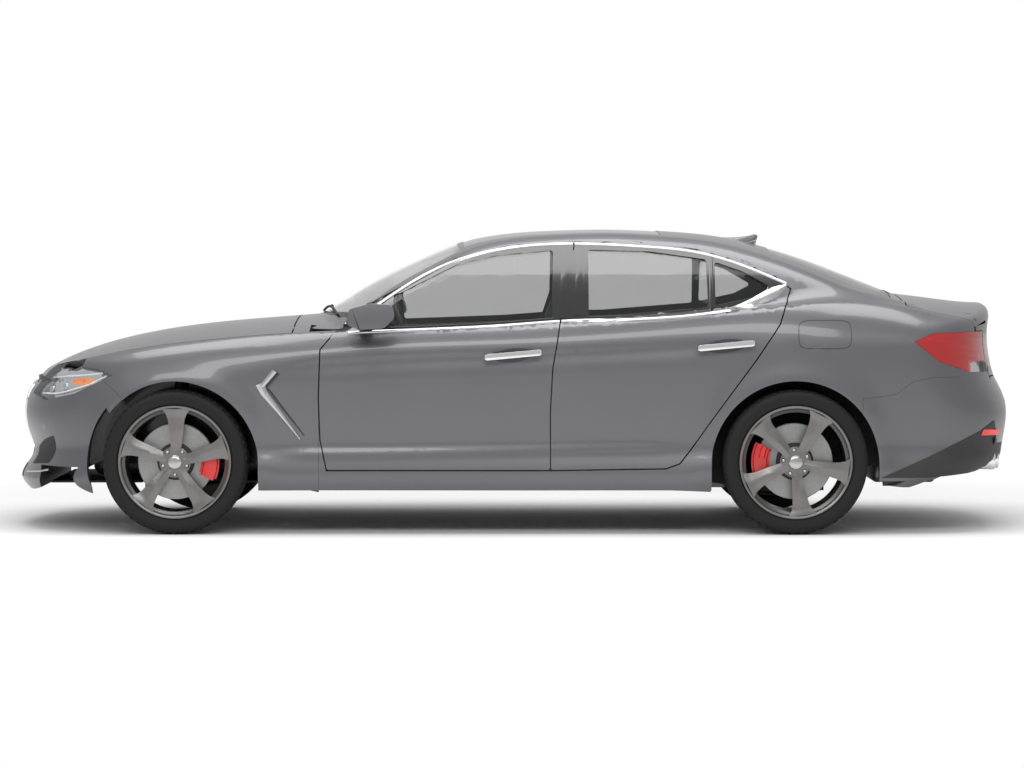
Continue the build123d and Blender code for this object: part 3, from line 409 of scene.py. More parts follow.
disc_iron = finish("brake_disc_iron", (0.27, 0.27, 0.27), (0.36, 0.355, 0.35), 0.36, 0.08, 70.0, 0.1,
    Metallic=0.9)
caliper_red = finish("red_caliper_enamel", (0.55, 0.012, 0.012), (0.66, 0.02, 0.02), 0.3, 0.05, 18.0,
                     Coat_Weight=0.5, Coat_Roughness=0.1)
tyre_rubber = finish("tyre_rubber", (0.006, 0.006, 0.006), (0.012, 0.012, 0.012), 0.72, 0.06, 30.0, 0.3,
    8.0,
                     Specular_IOR_Level=0.3)
cast_iron = finish("dark_casting", (0.05, 0.05, 0.05), (0.09, 0.088, 0.085), 0.55, 0.1, 35.0, 0.35,
    Metallic=0.6)
steel = finish("dull_steel", (0.2, 0.195, 0.19), (0.3, 0.29, 0.28), 0.42, 0.1, 20.0, 0.15, Metallic=0.9)
seat_leather = grain(finish("black_leather", (0.016, 0.016, 0.017), (0.028, 0.027, 0.027), 0.46, 0.06,
    16.0),
                     300.0, 0.35)
cabin_trim = grain(finish("soft_cabin_trim", (0.014, 0.014, 0.015), (0.024, 0.024, 0.025), 0.62, 0.05,
    12.0),
                   500.0, 0.2)
headliner = grain(finish("woven_headliner", (0.2, 0.195, 0.185), (0.27, 0.265, 0.255), 0.85, 0.05,
    60.0), 700.0, 0.3)
carpet = grain(finish("floor_carpet", (0.01, 0.01, 0.011), (0.03, 0.03, 0.031), 0.95, 0.03, 200.0),
    900.0, 0.6)
print(len(bpy.data.materials), "finishes")


# %% Glass and lamp covers
def clear_material(name, colour, roughness, alpha):
    """Thin tinted cover: see-through by its alpha, with a sharp gloss."""
    material = finish(name, colour, tuple(1.15 * c for c in colour), roughness, 0.01, 5.0,
                      Alpha=alpha, Coat_Weight=1.0, Coat_Roughness=0.01)
    return material


side_glass = clear_material("side_window_glass", (0.02, 0.022, 0.022), 0.03, 0.24)
dark_glass = clear_material("privacy_glass", (0.01, 0.011, 0.012), 0.03, 0.55)
roof_glass = clear_material("roof_glass", (0.006, 0.006, 0.007), 0.03, 0.92)
lamp_cover = clear_material("clear_lamp_cover", (0.5, 0.52, 0.54), 0.02, 0.14)
red_cover = clear_material("red_lamp_cover", (0.42, 0.006, 0.008), 0.04, 0.78)
amber_part = finish("amber_reflector", (0.85, 0.2, 0.01), (0.95, 0.28, 0.02), 0.25, 0.05, 60.0, 0.2)
lamp_silver = finish("lamp_reflector_silver", (0.55, 0.56, 0.58), (0.65, 0.66, 0.68), 0.14, 0.04, 15.0,
    Metallic=1.0)
lamp_light = finish("light_guide", (0.8, 0.82, 0.85), (0.9, 0.9, 0.92), 0.2, 0.03, 20.0)
red_light = finish("red_light_guide", (0.8, 0.03, 0.02), (0.95, 0.06, 0.04), 0.22, 0.03, 20.0)
# Painted shade: a darker copy of the body paint, laid behind each handle where a recess would be in shade.
cup_painted_shade = finish("painted_cup_shade", (0.04, 0.04, 0.043), (0.062, 0.061, 0.066), 0.4, 0.04, 6.0,
    Metallic=0.5,
                   Coat_Weight=0.6)
mirror_silver = finish("mirror_glass", (0.6, 0.62, 0.64), (0.66, 0.68, 0.7), 0.04, 0.01, 4.0, Metallic=1.0)
nut_steel = finish("plated_nuts", (0.42, 0.42, 0.42), (0.5, 0.5, 0.5), 0.22, 0.05, 40.0, Metallic=1.0)
red_tray = finish("dark_red_reflector", (0.16, 0.004, 0.006), (0.24, 0.008, 0.01), 0.3, 0.06, 220.0, 0.3)
lens_glass = finish("projector_lens", (0.3, 0.33, 0.36), (0.4, 0.43, 0.46), 0.06, 0.02, 8.0, Metallic=0.6,
                    Coat_Weight=1.0, Coat_Roughness=0.02)
dark_chrome = finish("smoked_chrome", (0.16, 0.16, 0.165), (0.22, 0.22, 0.225), 0.2, 0.05, 25.0,
    Metallic=1.0)
intake_black = grain(finish("intake_mesh_black", (0.006, 0.006, 0.006), (0.016, 0.016, 0.016), 0.6,
    0.08, 60.0),
                     160.0, 0.8, 0.002)
plate_blank = finish("blank_plate_panel", (0.03, 0.03, 0.032), (0.045, 0.045, 0.047), 0.4, 0.05, 20.0, 0.05)
print(len(bpy.data.materials), "finishes with the lamps")

# %% [markdown]
# ## Panels pulled onto the skin
# Each panel starts as a copy of its solid. Its doubles are merged, long edges are divided, and
# the faces that point out of the car are moved onto the smooth skin. The shut-line walls and
# inner faces keep their flat normals, so the gaps between panels stay crisp.

# %% Divide, pull and shade a panel
MM = 1000.0


OUT, WALL = 1, 0


COVER_REACH = 0.07
SLIVER_REACH = 6.0
LARGEST_MOVE = 45.0
STANDS_OFF = ("handle", "mirror", "tyre", "rim", "wheel")


def panel_tree():
    """Search tree of all panels, to tell which faces lie under another one."""
    corners, faces = [], []
    for node, solid in frame["nodes"].items():
        if any(word in node for word in STANDS_OFF):
            continue
        first = len(corners)
        corners += [v.co.copy() for v in solid.data.vertices]
        faces += [tuple(first + i for i in p.vertices) for p in solid.data.polygons]
    return BVHTree.FromPolygons(corners, faces)


PANELS = panel_tree()


def is_covered(centre, way):
    """Whether another panel lies straight outside a face."""
    start = Vector(centre) / MM + Vector(way) * 0.0015
    return PANELS.ray_cast(start, Vector(way), COVER_REACH)[0] is not None


def mark_outward(bm, reach, agree=0.55):
    """Give the faces of a panel that lie on the outer skin the index OUT, the others WALL."""
    bm.normal_update()
    faces = list(bm.faces)
    centres = np.array([f.calc_center_median() for f in faces]) * MM
    normals = np.array([f.normal for f in faces])
    value, slope = skin_frame(centres)
    out = (np.abs(value) < reach) & ((slope * normals).sum(1) > agree)
    out |= np.abs(value) < SLIVER_REACH
    for f, yes, centre, way in zip(faces, out, centres, slope):
        f.material_index = OUT if yes and not is_covered(centre, way) else WALL


def panel_copy(node):
    """bmesh of a solid's mesh with its doubles merged."""
    bm = bmesh.new()
    bm.from_mesh(frame["nodes"][node].data)
    bmesh.ops.remove_doubles(bm, verts=bm.verts, dist=2e-5)
    return bm


def add_object(name, bm, body, materials, replaced=()):
    """Finish a bmesh as a piece that rides on a body."""
    mesh = bpy.data.meshes.new(name)
    bm.to_mesh(mesh)
    bm.free()
    for material in materials:
        mesh.materials.append(material)
    piece = bpy.data.objects.new(name, mesh)
    bpy.context.scene.collection.objects.link(piece)
    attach(piece, body)
    if replaced:
        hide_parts(*replaced)
    return piece


def node_body(node):
    """Body that carries a CAD node."""
    return frame["nodes"][node]["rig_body"]


UNDER_SKIN = 7.0


def sink_under(bm, outer, depth):
    """Push the inner points of a panel below its outer face, where the skin has come down on them."""
    inner = [v for v in bm.verts if v not in outer]
    points = np.array([v.co for v in inner]).reshape(-1, 3) * MM
    value, slope = skin_frame(points)
    for v, high, way in zip(inner, value - depth, slope):
        if 0 < high < 40:
            v.co -= Vector(way) * high / MM


def dress_panel(name, node, choose, materials, rise=0.0, longest=0.034, cuts=(), reach=30.0):
    """Piece for one solid, smooth outside. choose gives each face its material."""
    bm = panel_copy(node)
    mark_outward(bm, reach)
    for co, no, zone in cuts:
        geometry = [f for f in bm.faces if zone(f.calc_center_median() * MM)]
        edges = {e for f in geometry for e in f.edges}
        verts = {v for f in geometry for v in f.verts}
        bmesh.ops.bisect_plane(bm, geom=geometry + list(edges) + list(verts), dist=1e-6,
                               plane_co=Vector(co) / MM, plane_no=no)
        bmesh.ops.triangulate(bm, faces=[f for f in bm.faces if len(f.verts) > 3])
    divide_zone(bm, [e for e in bm.edges if any(f.material_index == OUT for f in e.link_faces)], longest)
    moved = list(dict.fromkeys(v for f in bm.faces if f.material_index == OUT for v in f.verts))
    points = np.array([v.co for v in moved]).reshape(-1, 3) * MM
    target = onto_skin(points, rise, 6)
    lost = np.abs(skin_frame(target)[0] - rise) > 1.5
    target[lost] = points[lost]
    shift = np.linalg.norm(target - points, axis=1)
    held = np.minimum(1, LARGEST_MOVE / np.maximum(shift, 1e-6))[:, None]
    for v, place in zip(moved, points + (target - points) * held):
        v.co = Vector(place) / MM
    sink_under(bm, set(moved), rise - UNDER_SKIN)
    bm.normal_update()
    flags = [f.material_index == OUT for f in bm.faces]
    for f, flag in zip(bm.faces, flags):
        f.material_index = choose(f.calc_center_median() * MM, f.normal, flag)
        f.smooth = True
    corners = np.array([loop.vert.co for f in bm.faces for loop in f.loops]) * MM
    normals = np.array([f.normal for f in bm.faces for loop in f.loops])
    on = np.array([flag for f, flag in zip(bm.faces, flags) for loop in f.loops])
    normals[on] = skin_frame(corners[on])[1]
    piece = add_object(name, bm, node_body(node), materials, (node,))
    piece.data.normals_split_custom_set([tuple(n) for n in normals])
    print(name, len(piece.data.polygons), "faces, moved up to", round(float(shift.max(initial=0)), 1), "mm")
    return piece


def divide_zone(bm, edges, longest):
    """Halve the long edges that belong to the skin, until none is left."""
    for _ in range(9):
        long = [e for e in edges if e.calc_length() > longest]
        if not long:
            return
        made = bmesh.ops.subdivide_edges(bm, edges=long, cuts=1, use_grid_fill=False)
        found = [e for e in made["geom"] if isinstance(e, bmesh.types.BMEdge)]
        many = [f for f in bm.faces if len(f.verts) > 3]
        parts = bmesh.ops.triangulate(bm, faces=many)
        edges = list(dict.fromkeys(e for e in edges + found + parts["edges"] if e.is_valid))


# %% [markdown]
# ## Where paint ends and black begins
# The side windows lie in one long opening with a bright outline. Inside it every frame and pillar
# is gloss black, outside it the doors and the roof rail are painted. Two laws give the outline.

# %% Outline of the side windows
belt_line = spline_law(
    (-760, 922), (-530, 931), (0, 957), (242, 974), (909, 1012), (1100, 1058), (1230, 1118), (1268, 1142))
roof_line = spline_law(
    (-720, 985), (-603, 1060), (-430, 1172), (-212, 1266), (37, 1316), (395, 1326), (618, 1314),
    (844, 1290), (994, 1252), (1143, 1196), (1268, 1142))
LINE_FRONT, LINE_REAR = -690, 1262
PAINT, BLACK, INNER, LINER = 0, 1, 2, 3


def in_windows(x, z):
    """Whether a place in the side view lies inside the window outline."""
    return LINE_FRONT < x < LINE_REAR and belt_line(x) < z < roof_line(x)


def door_finish(centre, normal, outside):
    """Door: painted skin, black frames, and soft trim towards the cabin."""
    x, y, z = centre
    if abs(y) < 840 and z < 950 and normal.y * y < 0 and abs(normal.y) > 0.7:
        return INNER
    if in_windows(x, z) or (x < -600 and z > 955 and not outside):
        return BLACK
    if z > 940 and not outside:
        return BLACK
    return PAINT


def shell_finish(centre, normal, outside):
    """Body shell: painted skin, black wells and sills, light headliner, dark carpet."""
    x, y, z = centre
    if outside:
        return BLACK if in_windows(x, z) else PAINT
    in_cabin = CABIN[0] < x < CABIN[1] and abs(y) < 818
    if in_cabin and z > 1140:
        return LINER
    if in_cabin and z > 216:
        return INNER
    if z < 212 and abs(normal.z) > 0.7:
        return BLACK
    if x < -890 or (abs(y) < 700 and z < 930) or abs(x - AXLES[1]) < 420 and z < 740:
        return BLACK
    return PAINT


def line_cuts(law, first, last, count, margin):
    """Planes that cut a panel along a law in the side view."""
    cuts = []
    step = (last - first) / count
    for i in range(count):
        x0, x1 = first + i * step, first + (i + 1) * step
        z0, z1 = float(law(x0)), float(law(x1))

        def zone(c, x0=x0, x1=x1, z0=z0, z1=z1):
            return x0 - 60 < c[0] < x1 + 60 and min(z0, z1) - margin < c[2] < max(z0, z1) + margin

        cuts.append(((x0, 0, z0), (z0 - z1, 0, x1 - x0), zone))
    return cuts


CABIN = (-930, 1800)
shoulder_cuts = []
for offset in (-22, 0, 16):
    shoulder_cuts += line_cuts(lambda x, d=offset: shoulder_z(x) + d, -1500, 2100, 26, 50)
trim_cuts = line_cuts(belt_line, LINE_FRONT, 1230, 12, 60) + line_cuts(roof_line, LINE_FRONT, 1240, 14, 60)
PAINTED = [paint, gloss_black, cabin_trim, headliner]
for side in ("left", "right"):
    dress_panel(f"front_door_skin_{side}", f"front_door_{side}", door_finish, PAINTED,
                cuts=trim_cuts + shoulder_cuts)
    dress_panel(f"rear_door_skin_{side}", f"rear_door_{side}", door_finish, PAINTED,
                cuts=trim_cuts + shoulder_cuts)


def plain_paint(centre, normal, outside):
    """Panel that is painted outside, with a black inner face."""
    return PAINT if outside else UNDER


UNDER = 1
for name, node in (("hood_skin", "hood"), ("trunk_lid_skin", "trunk_lid"), ("fender_skins",
    "front_fenders"),
                   ("front_bumper_skin", "front_bumper"), ("rear_bumper_skin", "rear_bumper")):
    dress_panel(name, node, plain_paint, [paint, under_paint],
                cuts=shoulder_cuts if name == "fender_skins" else ())
dress_panel("body_skin", "body_shell", shell_finish, [paint, gloss_black, carpet, headliner],
            cuts=shoulder_cuts)
dress_panel("diffuser_skin", "diffuser", plain_paint, [grey_plastic, under_paint])

# %% [markdown]
# ## Glass
# The panes are solids a few millimetres inside the skin. Their copies are pulled on the same laws,
# so that a reflection runs without a step from paint to glass. The roof panel is nearly black, the
# rear screen is dark, and the windscreen and the doors' panes are lightly tinted.

# %% Panes
def one_finish(centre, normal, outside):
    """Piece with a single material."""
    return 0


def screen_finish(centre, normal, outside):
    """Windscreen clear, roof panel nearly black, rear screen dark."""
    x = centre[0]
    if -262 < x < 700:
        return 1
    return 0 if x < 0 else 2


for side in ("left", "right"):
    dress_panel(f"front_window_{side}", f"front_glass_{side}", one_finish, [side_glass], rise=-4.0)
    dress_panel(f"rear_windows_{side}", f"rear_glass_{side}", one_finish, [side_glass], rise=-4.0)
dress_panel("screens_and_roof", "body_glass", screen_finish, [side_glass, roof_glass,
    dark_glass], rise=-3.0)

# %% [markdown]
# ## Solids with softened edges
# Small solids such as mirrors, handles and castings need rounded edges to catch light. A copy of
# the solid has its flat faces joined again, and a bevel rounds each sharp edge.

# %% Soften a solid
def sharpen(bm, limit=0.6):
    """Smooth shading with the edges above an angle kept sharp."""
    for f in bm.faces:
        f.smooth = True
    for e in bm.edges:
        e.smooth = e.is_manifold and e.calc_face_angle(0.0) < limit


def soft_copy(name, node, materials, radius, choose=one_finish, segments=2, limit=0.5):
    """Piece for one solid whose sharp edges are rounded by a bevel."""
    bm = panel_copy(node)
    bmesh.ops.dissolve_limit(bm, angle_limit=0.03, verts=bm.verts, edges=bm.edges)
    bm.normal_update()
    sharp = [e for e in bm.edges if e.is_manifold and e.calc_face_angle(0.0) > limit]
    bmesh.ops.bevel(bm, geom=sharp, offset=radius / MM, segments=segments, profile=0.5, affect="EDGES",
                    material=-1, clamp_overlap=True)
    bmesh.ops.triangulate(bm, faces=[f for f in bm.faces if len(f.verts) > 4])
    bm.normal_update()
    for f in bm.faces:
        f.material_index = choose(f.calc_center_median() * MM, f.normal, True)
    sharpen(bm)
    piece = add_object(name, bm, node_body(node), materials, (node,))
    print(name, len(piece.data.polygons), "faces")
    return piece


# %% [markdown]
# ## Strips and patches that follow the side
# Window outlines, seals, vents and reflectors are thin strips laid on the body side. Each one is
# a grid whose rows run along a path in the side view. The grid is set on the skin with a bulged
# section, and its edges dip under the skin, so that no gap shows.

# %% Strips laid on the side
def pour(bm, part):
    """Add the geometry of one bmesh to another."""
    mesh = bpy.data.meshes.new("part")
    part.to_mesh(mesh)
    part.free()
    bm.from_mesh(mesh)
    bpy.data.meshes.remove(mesh)


def side_strip(bm, path, width, rise, side, rows=40, columns=4, sink=1.2, base=0.0):
    """Add a bulged strip along a path of the side view. path and width are laws of 0 to 1."""
    made = bmesh.ops.create_grid(bm, x_segments=rows, y_segments=columns, size=0.5)["verts"]
    u = np.array([v.co.x for v in made]) + 0.5
    t = np.array([v.co.y for v in made]) * 2
    x, z = path(u)
    x1, z1 = path(np.clip(u + 0.002, 0, 1.002))
    x0, z0 = path(np.clip(u - 0.002, -0.002, 1))
    along = np.hypot(x1 - x0, z1 - z0) + 1e-9
    across = width(u) / 2 * t
    x = x - (z1 - z0) / along * across
    z = z + (x1 - x0) / along * across
    lift = base + np.where(np.abs(t) > 0.98, -sink, rise * (1 - t * t) ** 0.5)
    y = side_at(x, z)
    points = np.stack([x, y, z], axis=1)
    slope = skin_frame(points)[1]
    points += slope * lift[:, None]
    points[:, 1] *= side
    for v, place in zip(made, points):
        v.co = Vector(place) / MM
    faces = list({f for v in made for f in v.link_faces})
    bmesh.ops.recalc_face_normals(bm, faces=faces)
    bm.normal_update()
    if sum(f.normal.y for f in faces) * side < 0:
        bmesh.ops.reverse_faces(bm, faces=faces)
    return faces


def through(*places):
    """Path through places of the side view, even in length, from 0 to 1."""
    spots = np.array(places, float)
    reach = np.concatenate([[0], np.cumsum(np.hypot(*np.diff(spots, axis=0).T))])
    reach /= reach[-1]
    x_law = spline_law(*zip(reach, spots[:, 0]))
    z_law = spline_law(*zip(reach, spots[:, 1]))
    return lambda u: (x_law(u), z_law(u))


def straight(*places):
    """Path through places of the side view by straight runs."""
    spots = np.array(places, float)
    reach = np.concatenate([[0], np.cumsum(np.hypot(*np.diff(spots, axis=0).T))])
    reach /= reach[-1]
    return lambda u: (np.interp(u, reach, spots[:, 0]), np.interp(u, reach, spots[:, 1]))


def even_width(value):
    """Width law of a strip with pointed ends kept blunt."""
    return lambda u: np.full(np.shape(u), float(value))


def strip_piece(name, body, slot, material, strips, sides=(-1,), **options):
    """Object made of several strips on one or both sides."""
    bm = bmesh.new()
    for side in sides:
        for path, width, rise in strips:
            side_strip(bm, path, width, rise, side, **options)
    for f in bm.faces:
        f.smooth = True
    piece = add_object(name, bm, body, [material])
    print(name, len(piece.data.polygons), "faces")
    return piece


# %% Bright window outline
def on_law(law, first, last, offset=0.0):
    """Path along a law of the side view."""
    return lambda u: (first + (last - first) * np.asarray(u),
        law(first + (last - first) * np.asarray(u)) + offset)


SPLIT_AT_BELT, SPLIT_AT_ROOF = 222, 286
LEFT, RIGHT = -1, 1
swell = lambda u: 15 + 40 * smooth(0.72, 0.95, u) * (1 - smooth(0.955, 1.0, u))
for side, sign in (("left", LEFT), ("right", RIGHT)):
    strip_piece(f"front_window_outline_{side}", f"front_door_{side}", "chrome", satin_chrome, [
        (on_law(belt_line, -750, SPLIT_AT_BELT - 4), even_width(15), 5.0),
        (on_law(roof_line, -716, SPLIT_AT_ROOF - 4), even_width(15), 5.0)], (sign,))
    strip_piece(f"rear_window_outline_{side}", f"rear_door_{side}", "chrome", satin_chrome, [
        (on_law(belt_line, SPLIT_AT_BELT + 4, 1262), swell, 5.0),
        (on_law(roof_line, SPLIT_AT_ROOF + 4, 1262), even_width(15), 5.0)], (sign,))

# %% Pillar covers and window seals
for side, sign in (("left", LEFT), ("right", RIGHT)):
    strip_piece(f"front_window_seal_{side}", f"front_door_{side}", "black_plastic", black_rubber_and_gap_shade, [
        (on_law(belt_line, -560, 190, 15), even_width(10), 2.0)], (sign,))
    strip_piece(f"rear_window_seal_{side}", f"rear_door_{side}", "black_plastic", black_rubber_and_gap_shade, [
        (on_law(belt_line, 350, 905, 15), even_width(10), 2.0)], (sign,))
    strip_piece(f"front_pillar_cover_{side}", f"front_door_{side}", "black_plastic", gloss_black, [
        (straight((232, 985), (262, 1300)), even_width(56), 1.6)], (sign,), base=0.6)
    strip_piece(f"rear_pillar_cover_{side}", f"rear_door_{side}", "black_plastic", gloss_black, [
        (straight((300, 1000), (322, 1306)), even_width(44), 1.6),
        (straight((916, 1028), (918, 1262)), even_width(20), 2.4)], (sign,), base=0.6)

# %% [markdown]
# ## Handles, mirrors and the side's small parts
# A pull handle is a bright bow over a cup whose shade is painted: a dark oval laid on the door
# skin, not a recess. The mirrors have a dark lower shell under a painted cap. The vent behind the
# front wheel is a bright angled blade, and the fuel door shows only as a fine dark line, which is
# painted shade where its gap would be.

# %% Handles and their cups
def cup(bm, x, z, length, height, slant, side):
    """Cup behind a handle: an oval patch just above the skin, in dark paint that stands for the shade of a
    recess.
    """
    made = bmesh.ops.create_circle(bm, cap_ends=True, cap_tris=False, segments=40, radius=1.0)["verts"]
    rim = [f for f in bm.faces if all(v in made for v in f.verts)]
    inner = bmesh.ops.inset_region(bm, faces=rim, thickness=0.3)
    verts = list({v for f in inner["faces"] + rim for v in f.verts})
    across = np.array([v.co for v in verts])
    px = x + across[:, 0] * length / 2
    pz = z + across[:, 1] * height / 2 + slant * (px - x)
    y = (side_at(px, pz) + 1.2) * side
    for v, *place in zip(verts, px, y, pz):
        v.co = Vector(place) / MM


for side, sign in (("left", LEFT), ("right", RIGHT)):
    for place, x, z, x_from, x_to in (("front", 5, 822, -124, 134), ("rear", 975, 864, 846, 1104)):
        soft_copy(f"{place}_handle_pull_{side}", f"{place}_handle_{side}", [chrome], 6.0,
            segments=3)
        bm = bmesh.new()
        cup(bm, x, z - 2, 190, 62, 0.085, sign)
        bmesh.ops.recalc_face_normals(bm, faces=bm.faces)
        if sum(f.normal.y for f in bm.faces) * sign < 0:
            bmesh.ops.reverse_faces(bm, faces=bm.faces)
        for f in bm.faces:
            f.smooth = True
        # The cup is a flat patch; its dark paint is painted shade, not a recess in the door.
        add_object(f"{place}_handle_cup_shade_{side}", bm, f"{place}_door_{side}", [cup_painted_shade])


def mirror_finish(centre, normal, outside):
    """Mirror: painted cap over a dark lower shell, with the glass facing back."""
    x, y, z = centre
    if x > -552 and normal.x > 0.6 and abs(y) > 905:
        return 2
    if z > 972 and abs(y) > 900:
        return 0
    return 1


for side, sign in (("left", LEFT), ("right", RIGHT)):
    soft_copy(f"mirror_shell_{side}", f"mirror_{side}", [paint, gloss_black,
        mirror_silver], 22.0,
              mirror_finish, segments=4)

# %% Vent behind the front wheel, fuel door and reflectors
strip_piece("fender_vents", "chassis", "chrome", satin_chrome, [
    (straight((-1082, 748), (-1150, 668)), even_width(26), 9.0),
    (straight((-1152, 690), (-1130, 645), (-968, 436)), lambda u: 40 - 30 * np.asarray(u), 9.0)], (LEFT,
    RIGHT))
strip_piece("fender_vent_slots", "chassis", "black_plastic", gloss_black, [
    (straight((-1066, 738), (-1120, 672), (-950, 452)), lambda u: 22 - 14 * np.asarray(u), 1.0)],
    (LEFT, RIGHT), base=0.5)


def rounded_loop(x, z, length, height, power=5.0):
    """Closed path of a rounded rectangle."""
    def path(u):
        a = 2 * math.pi * np.asarray(u)
        c, s = np.cos(a), np.sin(a)
        r = (np.abs(c) ** power + np.abs(s) ** power) ** (-1 / power)
        return x + length / 2 * r * c, z + height / 2 * r * s
    return path


# The fuel door's gap is not cut: a thin dark strip on the skin stands in for it as painted shade.
strip_piece("fuel_door_gap_shade", "chassis", "black_plastic", black_rubber_and_gap_shade, [
    (rounded_loop(1427, 914, 240, 130), even_width(4), 0.5)], (LEFT,), rows=72, base=0.3)
strip_piece("side_reflectors", "chassis", "lamp_red", red_light, [
    (straight((2168, 455), (2225, 462)), even_width(30), 3.0)], (LEFT, RIGHT), rows=10)

# %% [markdown]
# ## Wheels
# Each wheel has five broad blades that lean to one side. A blade is a small grid whose rows run
# from the hub to the rim: its face is set by a law, with a ridge near one edge, and then it gets
# its depth by an extrusion. The barrel, the brake disc and the tyre are spun from their profiles.

# %% Spinning and placing on an axle
def spun(bm, profile, steps, turn=2 * math.pi):
    """Spin (radius, offset) points about the Y axis."""
    verts = [bm.verts.new((0, v / MM, r / MM)) for r, v in profile]
    edges = [bm.edges.new(pair) for pair in zip(verts, verts[1:])]
    whole = abs(turn - 2 * math.pi) < 1e-6
    made = bmesh.ops.spin(bm, geom=verts + edges, cent=(0, 0, 0), axis=(0, 1, 0), angle=turn, steps=steps,
                          use_merge=whole)
    bmesh.ops.remove_doubles(bm, verts=bm.verts, dist=1e-6)
    return made


WHEEL_Z = 331
WHEEL_PLACES = (
    ("front_left", -1540, 797.5, 225, LEFT, 0.0), ("front_right", -1540, 797.5, 225, RIGHT, 0.0),
    ("rear_left", 1295, 802.0, 255, LEFT, 27.0), ("rear_right", 1295, 802.0, 255, RIGHT, 27.0))


def on_axle(bm, x, y, side):
    """Move a left wheel's mesh, made about the origin, to its place, mirrored for the right."""
    if side == RIGHT:
        bmesh.ops.scale(bm, verts=bm.verts, vec=(1, -1, 1))
    bmesh.ops.recalc_face_normals(bm, faces=bm.faces)
    bmesh.ops.translate(bm, verts=bm.verts, vec=Vector((x, side * y, WHEEL_Z)) / MM)


# %% Tyre
def tyre_profile(half):
    """Closed section of a low tyre: sidewalls with a rim guard, and a tread with four grooves."""
    side = [(246, half - 22), (257, half - 19), (263, half - 12), (268, half - 6), (276, half - 4),
        (290, half - 1),
            (302, half), (312, half - 3), (320, half - 10), (325, half - 18), (328.4, half - 28),
            (329.6, half - 38)]
    tread = []
    for groove in (0.72, 0.26, -0.26, -0.72):
        at = groove * (half - 38)
        tread += [(331, at + 5.5), (324, at + 4), (324, at - 4), (331, at - 5.5)]
    bead = [(246, 22 - half)]
    return side + tread + [(r, -v) for r, v in reversed(side[1:])] + bead


def build_tyre(place, x, y, width, side):
    """Tyre with small cuts across both shoulders."""
    bm = bmesh.new()
    spun(bm, tyre_profile(width / 2), 110)
    bmesh.ops.recalc_face_normals(bm, faces=bm.faces)
    shoulder = []
    for f in bm.faces:
        c = f.calc_center_median() * MM
        r = math.hypot(c.x, c.z)
        step = int((math.atan2(c.z, c.x) / (2 * math.pi) + 1) * 110 + 0.5)
        if 321 < r < 329.4 and abs(c.y) > width / 2 - 34 and step % 2:
            shoulder.append(f)
    cuts = bmesh.ops.inset_individual(bm, faces=shoulder, thickness=0.0022, depth=-0.004,
        use_even_offset=True)
    on_axle(bm, x, y, side)
    sharpen(bm, 0.5)
    add_object(f"tyre_{place}", bm, f"wheel_{place}", [tyre_rubber], (f"tyre_{place}",))
    print(f"tyre_{place}", len(cuts["faces"]), "cuts in the shoulders")


# %% Blades and barrel
BLADE_RADII = (40, 78, 120, 160, 196, 222, 243)
BLADE_LEFT = (-18, -19, -21, -25, -31, -40, -56)
BLADE_RIGHT = (24, 31, 37, 41, 46, 56, 76)


def blade(bm, half, angle):
    """One blade of a left wheel, turned about the axle."""
    made = bmesh.ops.create_grid(bm, x_segments=6, y_segments=24, size=0.5)["verts"]
    for v in made:
        t = v.co.x + 0.5
        r = BLADE_RADII[0] + (BLADE_RADII[-1] - BLADE_RADII[0]) * (v.co.y + 0.5)
        low = float(np.interp(r, BLADE_RADII, BLADE_LEFT))
        high = float(np.interp(r, BLADE_RADII, BLADE_RIGHT))
        across = low + (high - low) * t
        ridge = low + (high - low) * 0.6
        fall = 3.0 + 7.0 * max(0.0, (across - ridge) / (high - ridge)) ** 1.2 if across > ridge else 3.0 * (
            (ridge - across) / (ridge - low)) ** 1.6
        dish = 12 + 13 * (1 - smooth(40, 150, r)) - 5 * smooth(205, 243, r)
        lift = 1.6 * math.exp(-((across - ridge + 3) / 3.2) ** 2)
        v.co = Vector((across, -half + float(dish) + fall - lift, r)) / MM
    faces = list({f for v in made for f in v.link_faces})
    bmesh.ops.recalc_face_normals(bm, faces=faces)
    grown = bmesh.ops.extrude_face_region(bm, geom=faces)
    back = [g for g in grown["geom"] if isinstance(g, bmesh.types.BMVert)]
    for v in back:
        v.co.y += 0.026
        v.co.x *= 0.8
    verts = list(set(made) | set(back))
    bmesh.ops.rotate(bm, verts=verts, cent=(0, 0, 0), matrix=Matrix.Rotation(angle, 3, "Y"))


def rim_finish(half):
    """Blade faces and lip in machined grey, the sides and the barrel darker."""
    def choose(f):
        c = f.calc_center_median() * MM
        r = math.hypot(c.x, c.z)
        face = f.normal.y < -0.6
        return 1 if (face and c.y < -half + 32 and r > 34) or (r > 240 and c.y < -half + 26) else 0
    return choose


